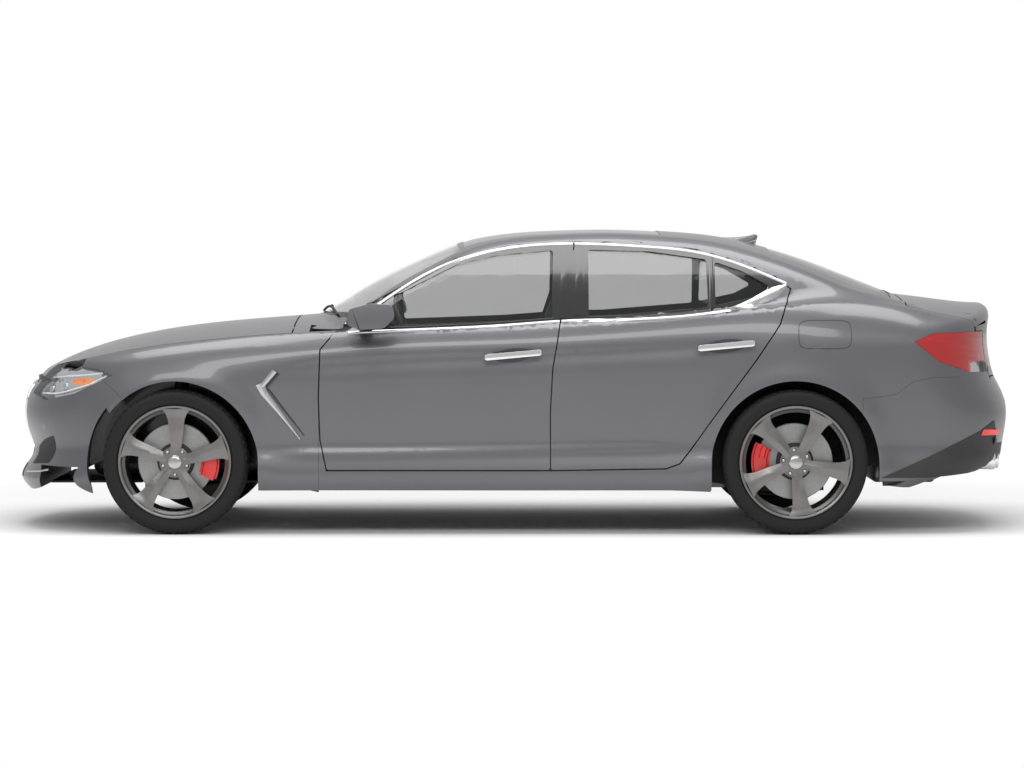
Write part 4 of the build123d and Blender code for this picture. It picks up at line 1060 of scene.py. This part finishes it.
def build_rim(place, x, y, width, side, turn):
    """Rim with its blades, cap and nuts."""
    half = width / 2
    bm = bmesh.new()
    spun(bm, [(258.5, 19.5 - half), (259, 14 - half), (257.5, 9.6 - half), (253, 9 - half), (247,
        12 - half),
              (242, 22 - half), (238, 26 - half), (228, 36 - half), (226, half - 30), (236, half - 16),
              (250, half - 9.5), (258, half - 10), (259, half - 19), (246, half - 21), (240, half - 40),
              (236, 42 - half), (245, 22 - half), (258.5, 19.5 - half)], 96)
    for i in range(5):
        blade(bm, half, math.radians(72 * i + turn))
    spun(bm, [(0, 27 - half), (60, 27 - half), (71, 34 - half), (72, 60 - half), (64, 78 - half), (0,
        78 - half)], 60)
    bmesh.ops.recalc_face_normals(bm, faces=bm.faces)
    choose = rim_finish(half)
    for f in bm.faces:
        f.material_index = choose(f)
    on_axle(bm, x, y, side)
    sharpen(bm, 0.55)
    add_object(f"rim_{place}", bm, f"wheel_{place}", [alloy_dark, alloy_bright],
        (f"rim_{place}",))
    bm = bmesh.new()
    spun(bm, [(0, 10.5 - half), (18, 11 - half), (27, 13 - half), (31, 17 - half), (32, 27 - half), (0,
        27 - half)], 40)
    for i in range(5):
        nut = bmesh.new()
        spun(nut, [(0, 16 - half), (5, 17 - half), (8.5, 20 - half), (10.5, 25 - half), (12, 30 - half),
                   (13.5, 31 - half), (13.5, 36 - half), (0, 36 - half)], 6)
        a = math.radians(72 * i + 36 + turn)
        bmesh.ops.translate(nut, verts=nut.verts, vec=Vector((57.15 * math.sin(a), 0,
            57.15 * math.cos(a))) / MM)
        pour(bm, nut)
    on_axle(bm, x, y, side)
    sharpen(bm, 0.6)
    add_object(f"cap_and_nuts_{place}", bm, f"wheel_{place}", [nut_steel])


def build_disc(place, x, y, side):
    """Brake disc with its hat, and the vents between its two faces."""
    bm = bmesh.new()
    spun(bm, [(84, -22), (86, -24), (173, -24), (175, -22), (175, -15), (170, -14), (170, -6), (175,
        -5), (175, 3),
              (173, 4), (86, 4), (84, 2), (82, -10), (84, -22)], 80)
    spun(bm, [(70, -34), (78, -34), (84, -30), (85, -20), (80, -8), (70, -8), (70, -34)], 60)
    for f in bm.faces:
        c = f.calc_center_median() * MM
        f.material_index = 0 if math.hypot(c.x, c.z) > 86 else 1
    on_axle(bm, x, y, side)
    sharpen(bm, 0.5)
    add_object(f"brake_disc_{place}", bm, f"wheel_{place}", [disc_iron, cast_iron])


for place, x, y, width, side, turn in WHEEL_PLACES:
    build_tyre(place, x, y, width, side)
    build_rim(place, x, y, width, side, turn)
    build_disc(place, x, y, side)
print("wheels", len(WHEEL_PLACES))

# %% [markdown]
# ## Brakes and running gear
# The calipers are enamelled red and sit behind the blades. They are part of the castings that
# carry the wheels, so those castings take their finish face by face.

# %% Calipers and castings
def caliper_finish(x):
    """Red on the caliper's bridge and faces, iron on the rest."""
    def choose(centre, normal, outside):
        r = math.hypot(centre[0] - x, centre[2] - WHEEL_Z)
        return 1 if 116 < r < 204 and 700 < abs(centre[1]) < 865 else 0
    return choose


for side in ("left", "right"):
    soft_copy(f"front_casting_{side}", f"front_knuckle_{side}", [cast_iron,
        caliper_red], 4.0,
              caliper_finish(-1540))
soft_copy("rear_castings", "rear_axle", [cast_iron, caliper_red], 4.0, caliper_finish(1295))
soft_copy("front_castings", "front_axle", [cast_iron], 4.0)


def caliper_plate(name, body, x, y, towards, side):
    """Raised face of a caliper: a bent bar with two cheeks."""
    bm = bmesh.new()
    spun(bm, [(128, -4), (133, -9), (150, -11), (178, -11), (190, -8), (194, 0), (128, 0), (128, -4)], 16,
         math.radians(54))
    spun(bm, [(140, -10), (146, -16), (164, -16), (170, -10), (140, -10)], 6, math.radians(20))
    middle = math.radians(27)
    bmesh.ops.rotate(bm, verts=bm.verts, cent=(0, 0, 0),
        matrix=Matrix.Rotation(math.radians(90) - middle, 3, "Y"))
    if towards < 0:
        bmesh.ops.scale(bm, verts=bm.verts, vec=(-1, 1, 1))
    holes = [e for e in bm.edges if e.is_boundary]
    bmesh.ops.holes_fill(bm, edges=holes, sides=12)
    bmesh.ops.translate(bm, verts=bm.verts, vec=(0, -0.0545, 0))
    on_axle(bm, x, y, side)
    sharpen(bm, 0.5)
    add_object(name, bm, body, [caliper_red])


for side, sign in (("left", LEFT), ("right", RIGHT)):
    caliper_plate(f"front_caliper_{side}", f"knuckle_{side}", -1540, 797.5, 1, sign)
    caliper_plate(f"rear_caliper_{side}", "chassis", 1295, 802.0, -1, sign)

# %% [markdown]
# ## Lamps
# A lamp is a tray behind a clear cover. The tray is the lamp's solid with its outer face pushed in,
# and the cover is that outer face left on the skin. Lenses, a light bar and reflectors stand
# between the two.

# %% Tray and cover of a lamp
def skin_cover(name, node, material, rise=0.0, longest=0.02, reach=30.0, choose=one_finish):
    """Outer face of a solid alone, as a thin cover on the skin."""
    bm = panel_copy(node)
    mark_outward(bm, reach)
    inside = [f for f in bm.faces if f.material_index == WALL]
    bmesh.ops.delete(bm, geom=inside, context="FACES")
    divide_zone(bm, list(bm.edges), longest)
    points = np.array([v.co for v in bm.verts]).reshape(-1, 3) * MM
    for v, place in zip(bm.verts, onto_skin(points, rise)):
        v.co = Vector(place) / MM
    corners = np.array([loop.vert.co for f in bm.faces for loop in f.loops]).reshape(-1, 3) * MM
    normals = skin_frame(corners)[1]
    for f in bm.faces:
        f.smooth = True
        f.material_index = choose(f.calc_center_median() * MM, f.normal, True)
    piece = add_object(name, bm, node_body(node), material)
    piece.data.normals_split_custom_set([tuple(n) for n in normals])
    print(name, len(piece.data.polygons), "faces")
    return piece


def head_tray(centre, normal, outside):
    """Headlamp tray: black nose, silver middle, and black walls."""
    x, y, z = centre
    if not outside:
        return 0
    if ((x + 1968) / 62) ** 2 + ((z - 694) / 17) ** 2 < 1:
        return 2
    if -2115 < x < -1880:
        return 1
    return 0


def tail_tray(centre, normal, outside):
    """Tail lamp tray in deep red, with a clear corner for the reversing lamp."""
    x, y, z = centre
    if not outside:
        return 0
    if x > 2105 and z < 790:
        return 1
    return 0


dress_panel("headlamp_trays", "headlamps", head_tray, [gloss_black, lamp_silver, amber_part],
            rise=-26.0, longest=0.02)
skin_cover("headlamp_covers", "headlamps", [lamp_cover])
dress_panel("tail_lamp_trays", "tail_lamps", tail_tray, [red_tray, lamp_silver], rise=-20.0,
    longest=0.02)


def red_or_clear(centre, normal, outside):
    """Cover of the tail lamp: red, with a clear lower corner."""
    return 1 if centre[0] > 2112 and centre[2] < 784 else 0


skin_cover("tail_lamp_covers", "tail_lamps", [red_cover, lamp_cover], choose=red_or_clear)



# %% Lenses and light bars
def lens(bm, x, z, radius, side, depth=22.0):
    """Domed lens in a ring, facing straight out of the skin."""
    y = float(side_at([x], [z])[0])
    point = np.array([[x, y, z]])
    slope = skin_frame(point)[1][0]
    part = bmesh.new()
    spun(part, [(0, -9), (radius * 0.5, -6.5), (radius * 0.85, 1), (radius, 8), (radius * 1.08, 4),
                (radius * 1.2, 4), (radius * 1.24, 14), (0, 14)], 36)
    bmesh.ops.recalc_face_normals(part, faces=part.faces)
    aim = Vector((0, -1, 0)).rotation_difference(Vector((slope[0], -slope[1], slope[2])))
    bmesh.ops.rotate(part, verts=part.verts, cent=(0, 0, 0), matrix=aim.to_matrix())
    bmesh.ops.translate(part, verts=part.verts, vec=Vector((x, -y, z) - np.array(
        [slope[0], -slope[1], slope[2]]) * depth) / MM)
    if side == RIGHT:
        bmesh.ops.scale(part, verts=part.verts, vec=(1, -1, 1))
        bmesh.ops.recalc_face_normals(part, faces=part.faces)
    pour(bm, part)


bm = bmesh.new()
for side in (LEFT, RIGHT):
    lens(bm, -2150, 668, 20, side)
    lens(bm, -2075, 684, 20, side)
sharpen(bm, 0.6)
add_object("headlamp_lenses", bm, "chassis", [lens_glass])
strip_piece("headlamp_light_bars", "chassis", "lamp_clear", lamp_light, [
    (through((-2196, 640), (-2120, 640), (-2010, 668), (-1905, 706), (-1862, 728)), even_width(9), 4.0),
    (through((-2150, 712), (-2050, 722), (-1950, 732), (-1880, 742)), even_width(7), 4.0)],
    (LEFT, RIGHT), base=-17.0)
strip_piece("tail_lamp_light_bars", "chassis", "lamp_red", red_light, [
    (through((1890, 905), (2000, 878), (2120, 850), (2190, 838)), even_width(12), 4.0),
    (through((1940, 868), (2040, 840), (2130, 815), (2190, 806)), even_width(8), 4.0)],
    (LEFT, RIGHT), base=-13.0)

# %% [markdown]
# ## Nose and tail
# The nose carries a large shield-shaped opening with a bright frame and a dark mesh, and low
# intakes with a lip. The tail has a black diffuser with four round outlets. Tubes that follow the
# skin are made as bevelled curves and then turned into meshes.

# %% Tubes through points
def tube_piece(name, body, material, runs, radius, closed=False, replaced=()):
    """Round bar along runs of points in millimetres, as a mesh."""
    curve = bpy.data.curves.new(name, "CURVE")
    curve.dimensions = "3D"
    curve.bevel_depth = radius / MM
    curve.bevel_resolution = 4
    curve.use_fill_caps = not closed
    for run in runs:
        line = curve.splines.new("POLY")
        line.points.add(len(run) - 1)
        for point, place in zip(line.points, run):
            point.co = (place[0] / MM, place[1] / MM, place[2] / MM, 1.0)
        line.use_cyclic_u = closed
    holder = bpy.data.objects.new(name + "_path", curve)
    bpy.context.scene.collection.objects.link(holder)
    graph = bpy.context.evaluated_depsgraph_get()
    mesh = bpy.data.meshes.new_from_object(holder.evaluated_get(graph))
    bm = bmesh.new()
    bm.from_mesh(mesh)
    bpy.data.objects.remove(holder)
    bpy.data.curves.remove(curve)
    bpy.data.meshes.remove(mesh)
    bmesh.ops.remove_doubles(bm, verts=bm.verts, dist=1e-5)
    bmesh.ops.recalc_face_normals(bm, faces=bm.faces)
    sharpen(bm, 0.8)
    piece = add_object(name, bm, body, [material], replaced)
    print(name, len(piece.data.polygons), "faces")
    return piece


def end_at(y, z, tail=False, rise=0.0):
    """Place of the nose or the tail at a spot seen from the end."""
    y = np.asarray(y, float)
    z = np.asarray(z, float)
    near = np.zeros(y.shape)
    far = np.full(y.shape, 2500.0 if tail else -2500.0)
    for _ in range(24):
        middle = (near + far) / 2
        inside = skin(middle, y, z) < rise
        near = np.where(inside, middle, near)
        far = np.where(inside, far, middle)
    return (near + far) / 2


def end_run(spots, tail=False, rise=0.0, closed=False, per=12):
    """Points on the nose or tail through (y, z) spots."""
    spots = list(spots) + ([spots[0]] if closed else [])
    y, z = [], []
    for (y0, z0), (y1, z1) in zip(spots, spots[1:]):
        for k in range(per):
            y.append(y0 + (y1 - y0) * k / per)
            z.append(z0 + (z1 - z0) * k / per)
    if not closed:
        y.append(spots[-1][0])
        z.append(spots[-1][1])
    x = end_at(y, z, tail, rise)
    return list(zip(x, y, z))


# %% Grille frame, mesh and intakes
HALF_SHIELD = [(150, 672), (300, 662), (352, 600), (300, 480), (190, 372), (90, 350)]
SHIELD = HALF_SHIELD + [(-y, z) for y, z in reversed(HALF_SHIELD)]
GRILLE_MIDDLE = 510
tube_piece("grille_frame", "chassis", chrome, [end_run(SHIELD, closed=True, rise=-3)], 8.0,
    closed=True)
soft_copy("grille_bars", "grille", [gloss_black], 1.2)


def lattice_runs(pitch):
    """Crossing slanted bars cut to the shield outline."""
    runs = []
    edges = list(zip(SHIELD, SHIELD[1:] + SHIELD[:1]))
    for lean in (1, -1):
        for k in range(-14, 15):
            hits = []
            for (y0, z0), (y1, z1) in edges:
                d0 = (z0 - GRILLE_MIDDLE) - lean * 0.8 * (y0 - k * pitch)
                d1 = (z1 - GRILLE_MIDDLE) - lean * 0.8 * (y1 - k * pitch)
                if d0 * d1 < 0:
                    t = d0 / (d0 - d1)
                    hits.append((y0 + (y1 - y0) * t, z0 + (z1 - z0) * t))
            if len(hits) == 2:
                run = end_run(hits, rise=-13, per=8)
                runs.append(run)
    return runs


tube_piece("grille_mesh", "chassis", dark_chrome, lattice_runs(52), 2.6)


def nose_patch(name, outline, material, rise=1.2, tail=False, both_sides=True, body="chassis",
               replaced=(), thick=0.0):
    """Patch laid on the nose or tail inside a (y, z) outline, with a thickness if one is given."""
    bm = bmesh.new()
    for sign in ((1, -1) if both_sides else (1,)):
        verts = [bm.verts.new((0, sign * y / MM, z / MM)) for y, z in outline]
        face = bm.faces.new(verts)
        bmesh.ops.triangulate(bm, faces=[face])
    divide_zone(bm, list(bm.edges), 0.03)
    spots = np.array([v.co for v in bm.verts]) * MM
    x = end_at(spots[:, 1], spots[:, 2], tail, rise)
    for v, place in zip(bm.verts, x):
        v.co.x = place / MM
    bmesh.ops.recalc_face_normals(bm, faces=bm.faces)
    want = 1 if tail else -1
    flip = [f for f in bm.faces if f.normal.x * want < 0]
    bmesh.ops.reverse_faces(bm, faces=flip)
    thicken(bm, thick)
    piece = add_object(name, bm, body, [material], replaced)
    print(name, len(piece.data.polygons), "faces")
    return piece


def thicken(bm, thick):
    """Give a patch a back face, thick millimetres under its front."""
    bm.normal_update()
    if thick:
        bmesh.ops.solidify(bm, geom=list(bm.faces), thickness=thick / MM)
    sharpen(bm, 0.6)


def side_patch(name, outline, material, rise=1.2, body="chassis"):
    """Patch laid on both sides of the body inside an (x, z) outline."""
    bm = bmesh.new()
    for sign in (LEFT, RIGHT):
        verts = [bm.verts.new((x / MM, sign, z / MM)) for x, z in outline]
        bmesh.ops.triangulate(bm, faces=[bm.faces.new(verts)])
    divide_zone(bm, list(bm.edges), 0.03)
    spots = np.array([v.co for v in bm.verts])
    y = side_at(spots[:, 0] * MM, spots[:, 2] * MM, rise) * np.sign(spots[:, 1])
    for v, place in zip(bm.verts, y):
        v.co.y = place / MM
    bm.normal_update()
    bmesh.ops.reverse_faces(bm, faces=[f for f in bm.faces if f.normal.y * f.calc_center_median().y < 0])
    sharpen(bm, 0.6)
    piece = add_object(name, bm, body, [material])
    print(name, len(piece.data.polygons), "faces")


nose_patch("nose_intakes", [(430, 300), (620, 312), (650, 440), (560, 420), (440, 380)], intake_black)
nose_patch("lower_intake", [(-330, 232), (330, 232), (300, 292), (-300, 292)], intake_black,
           both_sides=False)
tube_piece("intake_bars", "chassis", satin_chrome, [
    end_run([(435, 262), (600, 272), (660, 284)], rise=1), end_run([(-435, 262), (-600, 272), (-660,
    284)], rise=1)], 5.0)
nose_patch("front_plate_holder", [(-230, 330), (230, 330), (230, 360), (-230, 360)], gloss_black,
           rise=2.0, both_sides=False)

# %% Tail: lid corners and lamps, reflectors, plate recess, outlets
nose_patch("lid_corners", [(430, 716), (551, 716), (551, 926), (655, 926), (655, 948), (430, 962)], paint,
           rise=-0.4, tail=True, body="trunk_lid", thick=6.0)
nose_patch("lid_lamp_covers", [(328, 758), (551, 758), (551, 908), (328, 908)], red_cover,
    rise=0.8,
           tail=True, body="trunk_lid", replaced=("lid_lamps",))
nose_patch("bumper_corners", [(556, 650), (806, 650), (806, 733), (556, 726)], paint,
    rise=0.3, tail=True,
           thick=5.0)
side_patch("rear_lower_sides", [(1690, 258), (2161, 466), (2235, 512), (2262, 380), (2235, 272), (1900,
    256)],
           grey_plastic, rise=3.0)
nose_patch("tail_reflectors", [(560, 440), (730, 445), (724, 472), (566, 466)], red_light,
    rise=4.5, tail=True)
nose_patch("rear_plate_panel", [(-262, 560), (262, 560), (255, 690), (-255, 690)], plate_blank,
           rise=1.5, tail=True, both_sides=False)


def outlets():
    """Four round exhaust tips with rolled edges."""
    bm = bmesh.new()
    for y in (-540, -430, 430, 540):
        part = bmesh.new()
        spun(part, [(36, 60), (40, 60), (44, 56), (45, 0), (44, -6), (41, -8), (38, -5), (37, 0), (36,
            60)], 36)
        bmesh.ops.rotate(part, verts=part.verts, cent=(0, 0, 0), matrix=Matrix.Rotation(math.pi / 2, 3,
            "Z"))
        bmesh.ops.recalc_face_normals(part, faces=part.faces)
        x = float(end_at([y], [322], True)[0])
        bmesh.ops.translate(part, verts=part.verts, vec=Vector((x - 4, y, 322)) / MM)
        pour(bm, part)
    sharpen(bm, 0.6)
    return bm


add_object("exhaust_tips", outlets(), "chassis", [chrome])
print("tail dressed")

# %% [markdown]
# ## Roof fin and wipers
# The aerial fin is a small lofted shell with a sharp rear edge. Two wiper arms lie at the foot of
# the windscreen.

# %% Fin
def roof_fin():
    """Swept fin: a grid folded over a side outline, widest at its foot."""
    bm = bmesh.new()
    made = bmesh.ops.create_grid(bm, x_segments=16, y_segments=12, size=0.5)["verts"]
    u = np.array([v.co.x for v in made]) + 0.5
    t = np.array([v.co.y for v in made]) * 2
    height = 58 * u**1.7 * (1 - smooth(0.9, 1.0, u) * 0.25)
    x = 1010 + 158 * u + 12 * (1 - np.abs(t)) * u
    foot = top_at(x, np.zeros_like(x))
    width = 15 * np.sin(np.pi * np.minimum(1.0, 0.12 + 0.8 * u)) + 2
    z = foot - 4 + (height + 6) * (1 - np.abs(t) ** 1.5)
    y = width * np.sign(t) * np.abs(t) ** 0.8
    for v, *place in zip(made, x, y, np.minimum(z, 1399.0)):
        v.co = Vector(place) / MM
    bmesh.ops.recalc_face_normals(bm, faces=bm.faces)
    if sum(f.normal.z for f in bm.faces) < 0:
        bmesh.ops.reverse_faces(bm, faces=bm.faces)
    bmesh.ops.holes_fill(bm, edges=[e for e in bm.edges if e.is_boundary], sides=80)
    bmesh.ops.recalc_face_normals(bm, faces=bm.faces)
    sharpen(bm, 0.7)
    return bm


add_object("roof_fin", roof_fin(), "chassis", [paint])


def over_glass(x, y, rise):
    """Points above the body at plan places."""
    z = top_at(x, y) + rise
    return list(zip(x, y, z))


wiper_runs = []
for x0, y0, x1, y1 in ((-905, 60, -812, -560), (-880, 560, -868, 40)):
    span = np.linspace(0, 1, 22)
    wiper_runs.append(over_glass(x0 + (x1 - x0) * span, y0 + (y1 - y0) * span,
        9 + 7 * np.sin(np.pi * span)))
tube_piece("wiper_arms", "chassis", black_rubber_and_gap_shade, wiper_runs, 6.0)

# %% [markdown]
# ## Cabin
# Seats are soft forms, so each pad starts as a cube, is divided, and is rounded into a crowned
# cushion whose sides pull in between its corners. Sewn channels are pressed in afterwards. The
# simulated way isn't used here, because these pads show only through glass.

# %% Pads
def pad(bm, centre, size, tilt=0.0, power=3.6, channels=(), depth=5.0, cuts=13):
    """Crowned cushion with sewn channels across its upper face, turned about Y."""
    part = bmesh.new()
    bmesh.ops.create_cube(part, size=2.0)
    bmesh.ops.subdivide_edges(part, edges=part.edges, cuts=cuts, use_grid_fill=True)
    for v in part.verts:
        c = v.co.copy()
        r = sum(abs(a) ** power for a in c) ** (1 / power)
        c /= r
        groove = sum(math.exp(-((c.y - at) / 0.035) ** 2) for at in channels)
        pull = 0.05 * (1 - abs(c.y) ** 2) * (abs(c.x) > 0.55)
        c.x *= 1 - pull
        place = Vector((c.x * size[0] / 2, c.y * size[1] / 2, c.z * size[2] / 2))
        if c.z > 0.2:
            place.z -= depth * groove
        v.co = place / MM
    bmesh.ops.rotate(part, verts=part.verts, cent=(0, 0, 0), matrix=Matrix.Rotation(tilt, 3, "Y"))
    bmesh.ops.translate(part, verts=part.verts, vec=Vector(centre) / MM)
    bmesh.ops.smooth_vert(part, verts=part.verts, factor=0.4, use_axis_x=True, use_axis_y=True,
        use_axis_z=True)
    pour(bm, part)


BACK_TILT = math.radians(-69)


def front_seat_pads(bm, y):
    """Cushion, back, bolsters and headrest of one front seat."""
    pad(bm, (-195, y, 452), (500, 300, 120), math.radians(5), channels=(-0.5, 0.0, 0.5))
    for side in (-1, 1):
        pad(bm, (-195, y + side * 178, 468), (500, 105, 135), math.radians(5))
        pad(bm, (122, y + side * 170, 690), (470, 95, 150), BACK_TILT)
    pad(bm, (112, y, 690), (470, 280, 120), BACK_TILT, channels=(-0.5, 0.0, 0.5))
    pad(bm, (222, y, 1012), (180, 240, 92), BACK_TILT)


bm = bmesh.new()
for y in (-370, 370):
    front_seat_pads(bm, y)
sharpen(bm, 1.2)
front_pads = add_object("front_seat_pads", bm, "chassis", [seat_leather], ("front_seats",))
bm = bmesh.new()
for y in (-370, 370):
    for size, centre in (((440, 330, 190), (-190, y, 335)), ((420, 330, 70), (158, y, 660))):
        tilt = BACK_TILT if centre[2] > 500 else 0.0
        pad(bm, centre, size, tilt, power=7.0, cuts=7)
    for offset in (-60, 60):
        pad(bm, (196, y + offset, 915), (120, 14, 14), BACK_TILT, power=5.0, cuts=3)
sharpen(bm, 0.9)
add_object("front_seat_shells", bm, "chassis", [cabin_trim])
bm = bmesh.new()
for y in (-380, 0, 380):
    wide = 350 if y else 390
    pad(bm, (860, y, 462), (480, wide, 120), math.radians(5), channels=(-0.33, 0.33))
    pad(bm, (1150, y, 700), (480, wide, 130), math.radians(-66), channels=(-0.33, 0.33))
    pad(bm, (1270, y, 1010), (130, 235, 85), math.radians(-70))
pad(bm, (870, 0, 400), (500, 1150, 100), 0.0, power=8.0)
sharpen(bm, 1.2)
rear_pads = add_object("rear_seat_pads", bm, "chassis", [seat_leather], ("rear_seat",))
print("seats done")

# %% Dashboard, steering wheel and the rest of the cabin
soft_copy("dashboard_skin", "dashboard", [cabin_trim], 14.0, segments=3)


def wheel_grip(centre, normal, outside):
    """Leather on the rim, silver on the lower spoke, soft trim on the boss."""
    x, y, z = centre
    r = math.dist((x, y, z), (-490, -370, 900.4))
    if r > 158:
        return 0
    return 1 if r < 62 else 2


soft_copy("steering_wheel_rim", "steering_wheel", [seat_leather, cabin_trim,
    satin_chrome], 3.0,
          wheel_grip, limit=0.95)
soft_copy("engine_cover", "engine_block", [cast_iron], 12.0, segments=3)
soft_copy("silencer", "exhaust", [steel], 16.0, segments=3)
soft_copy("tray_panels", "undertray", [grey_plastic], 2.5)

# %% [markdown]
# ## Studio and camera
# The car stands on a plain pale floor that fades into a white surround, under a broad soft lamp
# overhead and a weaker one on the near side. The camera sees the surround as plain white, while
# its light on the car is softer.

# %% Floor
def floor_material():
    """Pale floor near the car, which fades into the white surround further out."""
    material = bpy.data.materials.new("studio_floor")
    material.use_nodes = True
    tree = material.node_tree
    shader = tree.nodes["Principled BSDF"]
    shader.inputs["Base Color"].default_value = rgb(0.86, 0.86, 0.86)
    shader.inputs["Roughness"].default_value = 0.75
    place = tree.nodes.new("ShaderNodeTexCoord")
    reach = tree.nodes.new("ShaderNodeVectorMath")
    reach.operation = "LENGTH"
    tree.links.new(place.outputs["Object"], reach.inputs[0])
    fade = tree.nodes.new("ShaderNodeMapRange")
    fade.interpolation_type = "SMOOTHSTEP"
    fade.inputs["From Min"].default_value = 2.2
    fade.inputs["From Max"].default_value = 4.2
    tree.links.new(reach.outputs["Value"], fade.inputs["Value"])
    glow = tree.nodes.new("ShaderNodeEmission")
    glow.inputs["Color"].default_value = rgb(1.0, 1.0, 1.0)
    path = tree.nodes.new("ShaderNodeLightPath")
    seen = tree.nodes.new("ShaderNodeMath")
    seen.operation = "MULTIPLY"
    tree.links.new(path.outputs["Is Camera Ray"], seen.inputs[0])
    tree.links.new(fade.outputs["Result"], seen.inputs[1])
    mix = tree.nodes.new("ShaderNodeMixShader")
    tree.links.new(seen.outputs["Value"], mix.inputs["Fac"])
    tree.links.new(shader.outputs["BSDF"], mix.inputs[1])
    tree.links.new(glow.outputs["Emission"], mix.inputs[2])
    tree.links.new(mix.outputs["Shader"], tree.nodes["Material Output"].inputs["Surface"])
    return material


def studio_floor():
    """Large flat floor under the car."""
    bm = bmesh.new()
    bmesh.ops.create_grid(bm, x_segments=1, y_segments=1, size=60.0)
    mesh = bpy.data.meshes.new("studio_floor")
    bm.to_mesh(mesh)
    bm.free()
    mesh.materials.append(floor_material())
    floor = bpy.data.objects.new("studio_floor", mesh)
    bpy.context.scene.collection.objects.link(floor)
    print("floor", [round(v, 1) for v in floor.dimensions])


studio_floor()


# %% Surround
def surround():
    """White for the camera and through glass, and a soft even light for the rest, reflections too."""
    world = bpy.data.worlds.new("studio_surround")
    world.use_nodes = True
    tree = world.node_tree
    tree.nodes.clear()
    light = tree.nodes.new("ShaderNodeBackground")
    light.inputs["Color"].default_value = rgb(1.0, 1.0, 1.0)
    light.inputs["Strength"].default_value = 0.62
    seen = tree.nodes.new("ShaderNodeBackground")
    seen.inputs["Color"].default_value = rgb(1.0, 1.0, 1.0)
    seen.inputs["Strength"].default_value = 1.0
    path = tree.nodes.new("ShaderNodeLightPath")
    either = tree.nodes.new("ShaderNodeMath")
    either.operation = "MAXIMUM"
    tree.links.new(path.outputs["Is Camera Ray"], either.inputs[0])
    tree.links.new(path.outputs["Is Transmission Ray"], either.inputs[1])
    mix = tree.nodes.new("ShaderNodeMixShader")
    tree.links.new(either.outputs["Value"], mix.inputs["Fac"])
    tree.links.new(light.outputs["Background"], mix.inputs[1])
    tree.links.new(seen.outputs["Background"], mix.inputs[2])
    out = tree.nodes.new("ShaderNodeOutputWorld")
    tree.links.new(mix.outputs["Shader"], out.inputs["Surface"])
    bpy.context.scene.world = world


surround()


# %% Lamps and camera
def soft_lamp(name, size, place, target, power):
    """Rectangular area lamp aimed at a point."""
    data = bpy.data.lights.new(name, "AREA")
    data.shape = "RECTANGLE"
    data.size, data.size_y = size
    data.energy = power
    lamp = bpy.data.objects.new(name, data)
    lamp.location = place
    lamp.rotation_euler = (Vector(target) - Vector(place)).to_track_quat("-Z", "Y").to_euler()
    bpy.context.scene.collection.objects.link(lamp)


soft_lamp("overhead_lamp", (6.5, 2.6), (0.0, -0.6, 4.6), (0.0, -0.3, 0.0), 230.0)
soft_lamp("side_lamp", (7.0, 1.6), (-0.5, -6.5, 4.2), (0.0, 0.0, 0.6), 190.0)
CAMERA_AT, CAMERA_AIM = Vector((0.0, -17.5, 1.3)), Vector((0.0, 0.0, 0.6554))
camera_data = bpy.data.cameras.new("side_camera")
camera_data.lens = 128.1
camera_data.sensor_width = 36.0
camera = bpy.data.objects.new("side_camera", camera_data)
camera.location = CAMERA_AT
camera.rotation_euler = (CAMERA_AIM - CAMERA_AT).to_track_quat("-Z", "Y").to_euler()
bpy.context.scene.collection.objects.link(camera)
bpy.context.scene.camera = camera
bpy.context.scene.view_settings.view_transform = "Standard"
print("camera", [round(v, 2) for v in camera.location])
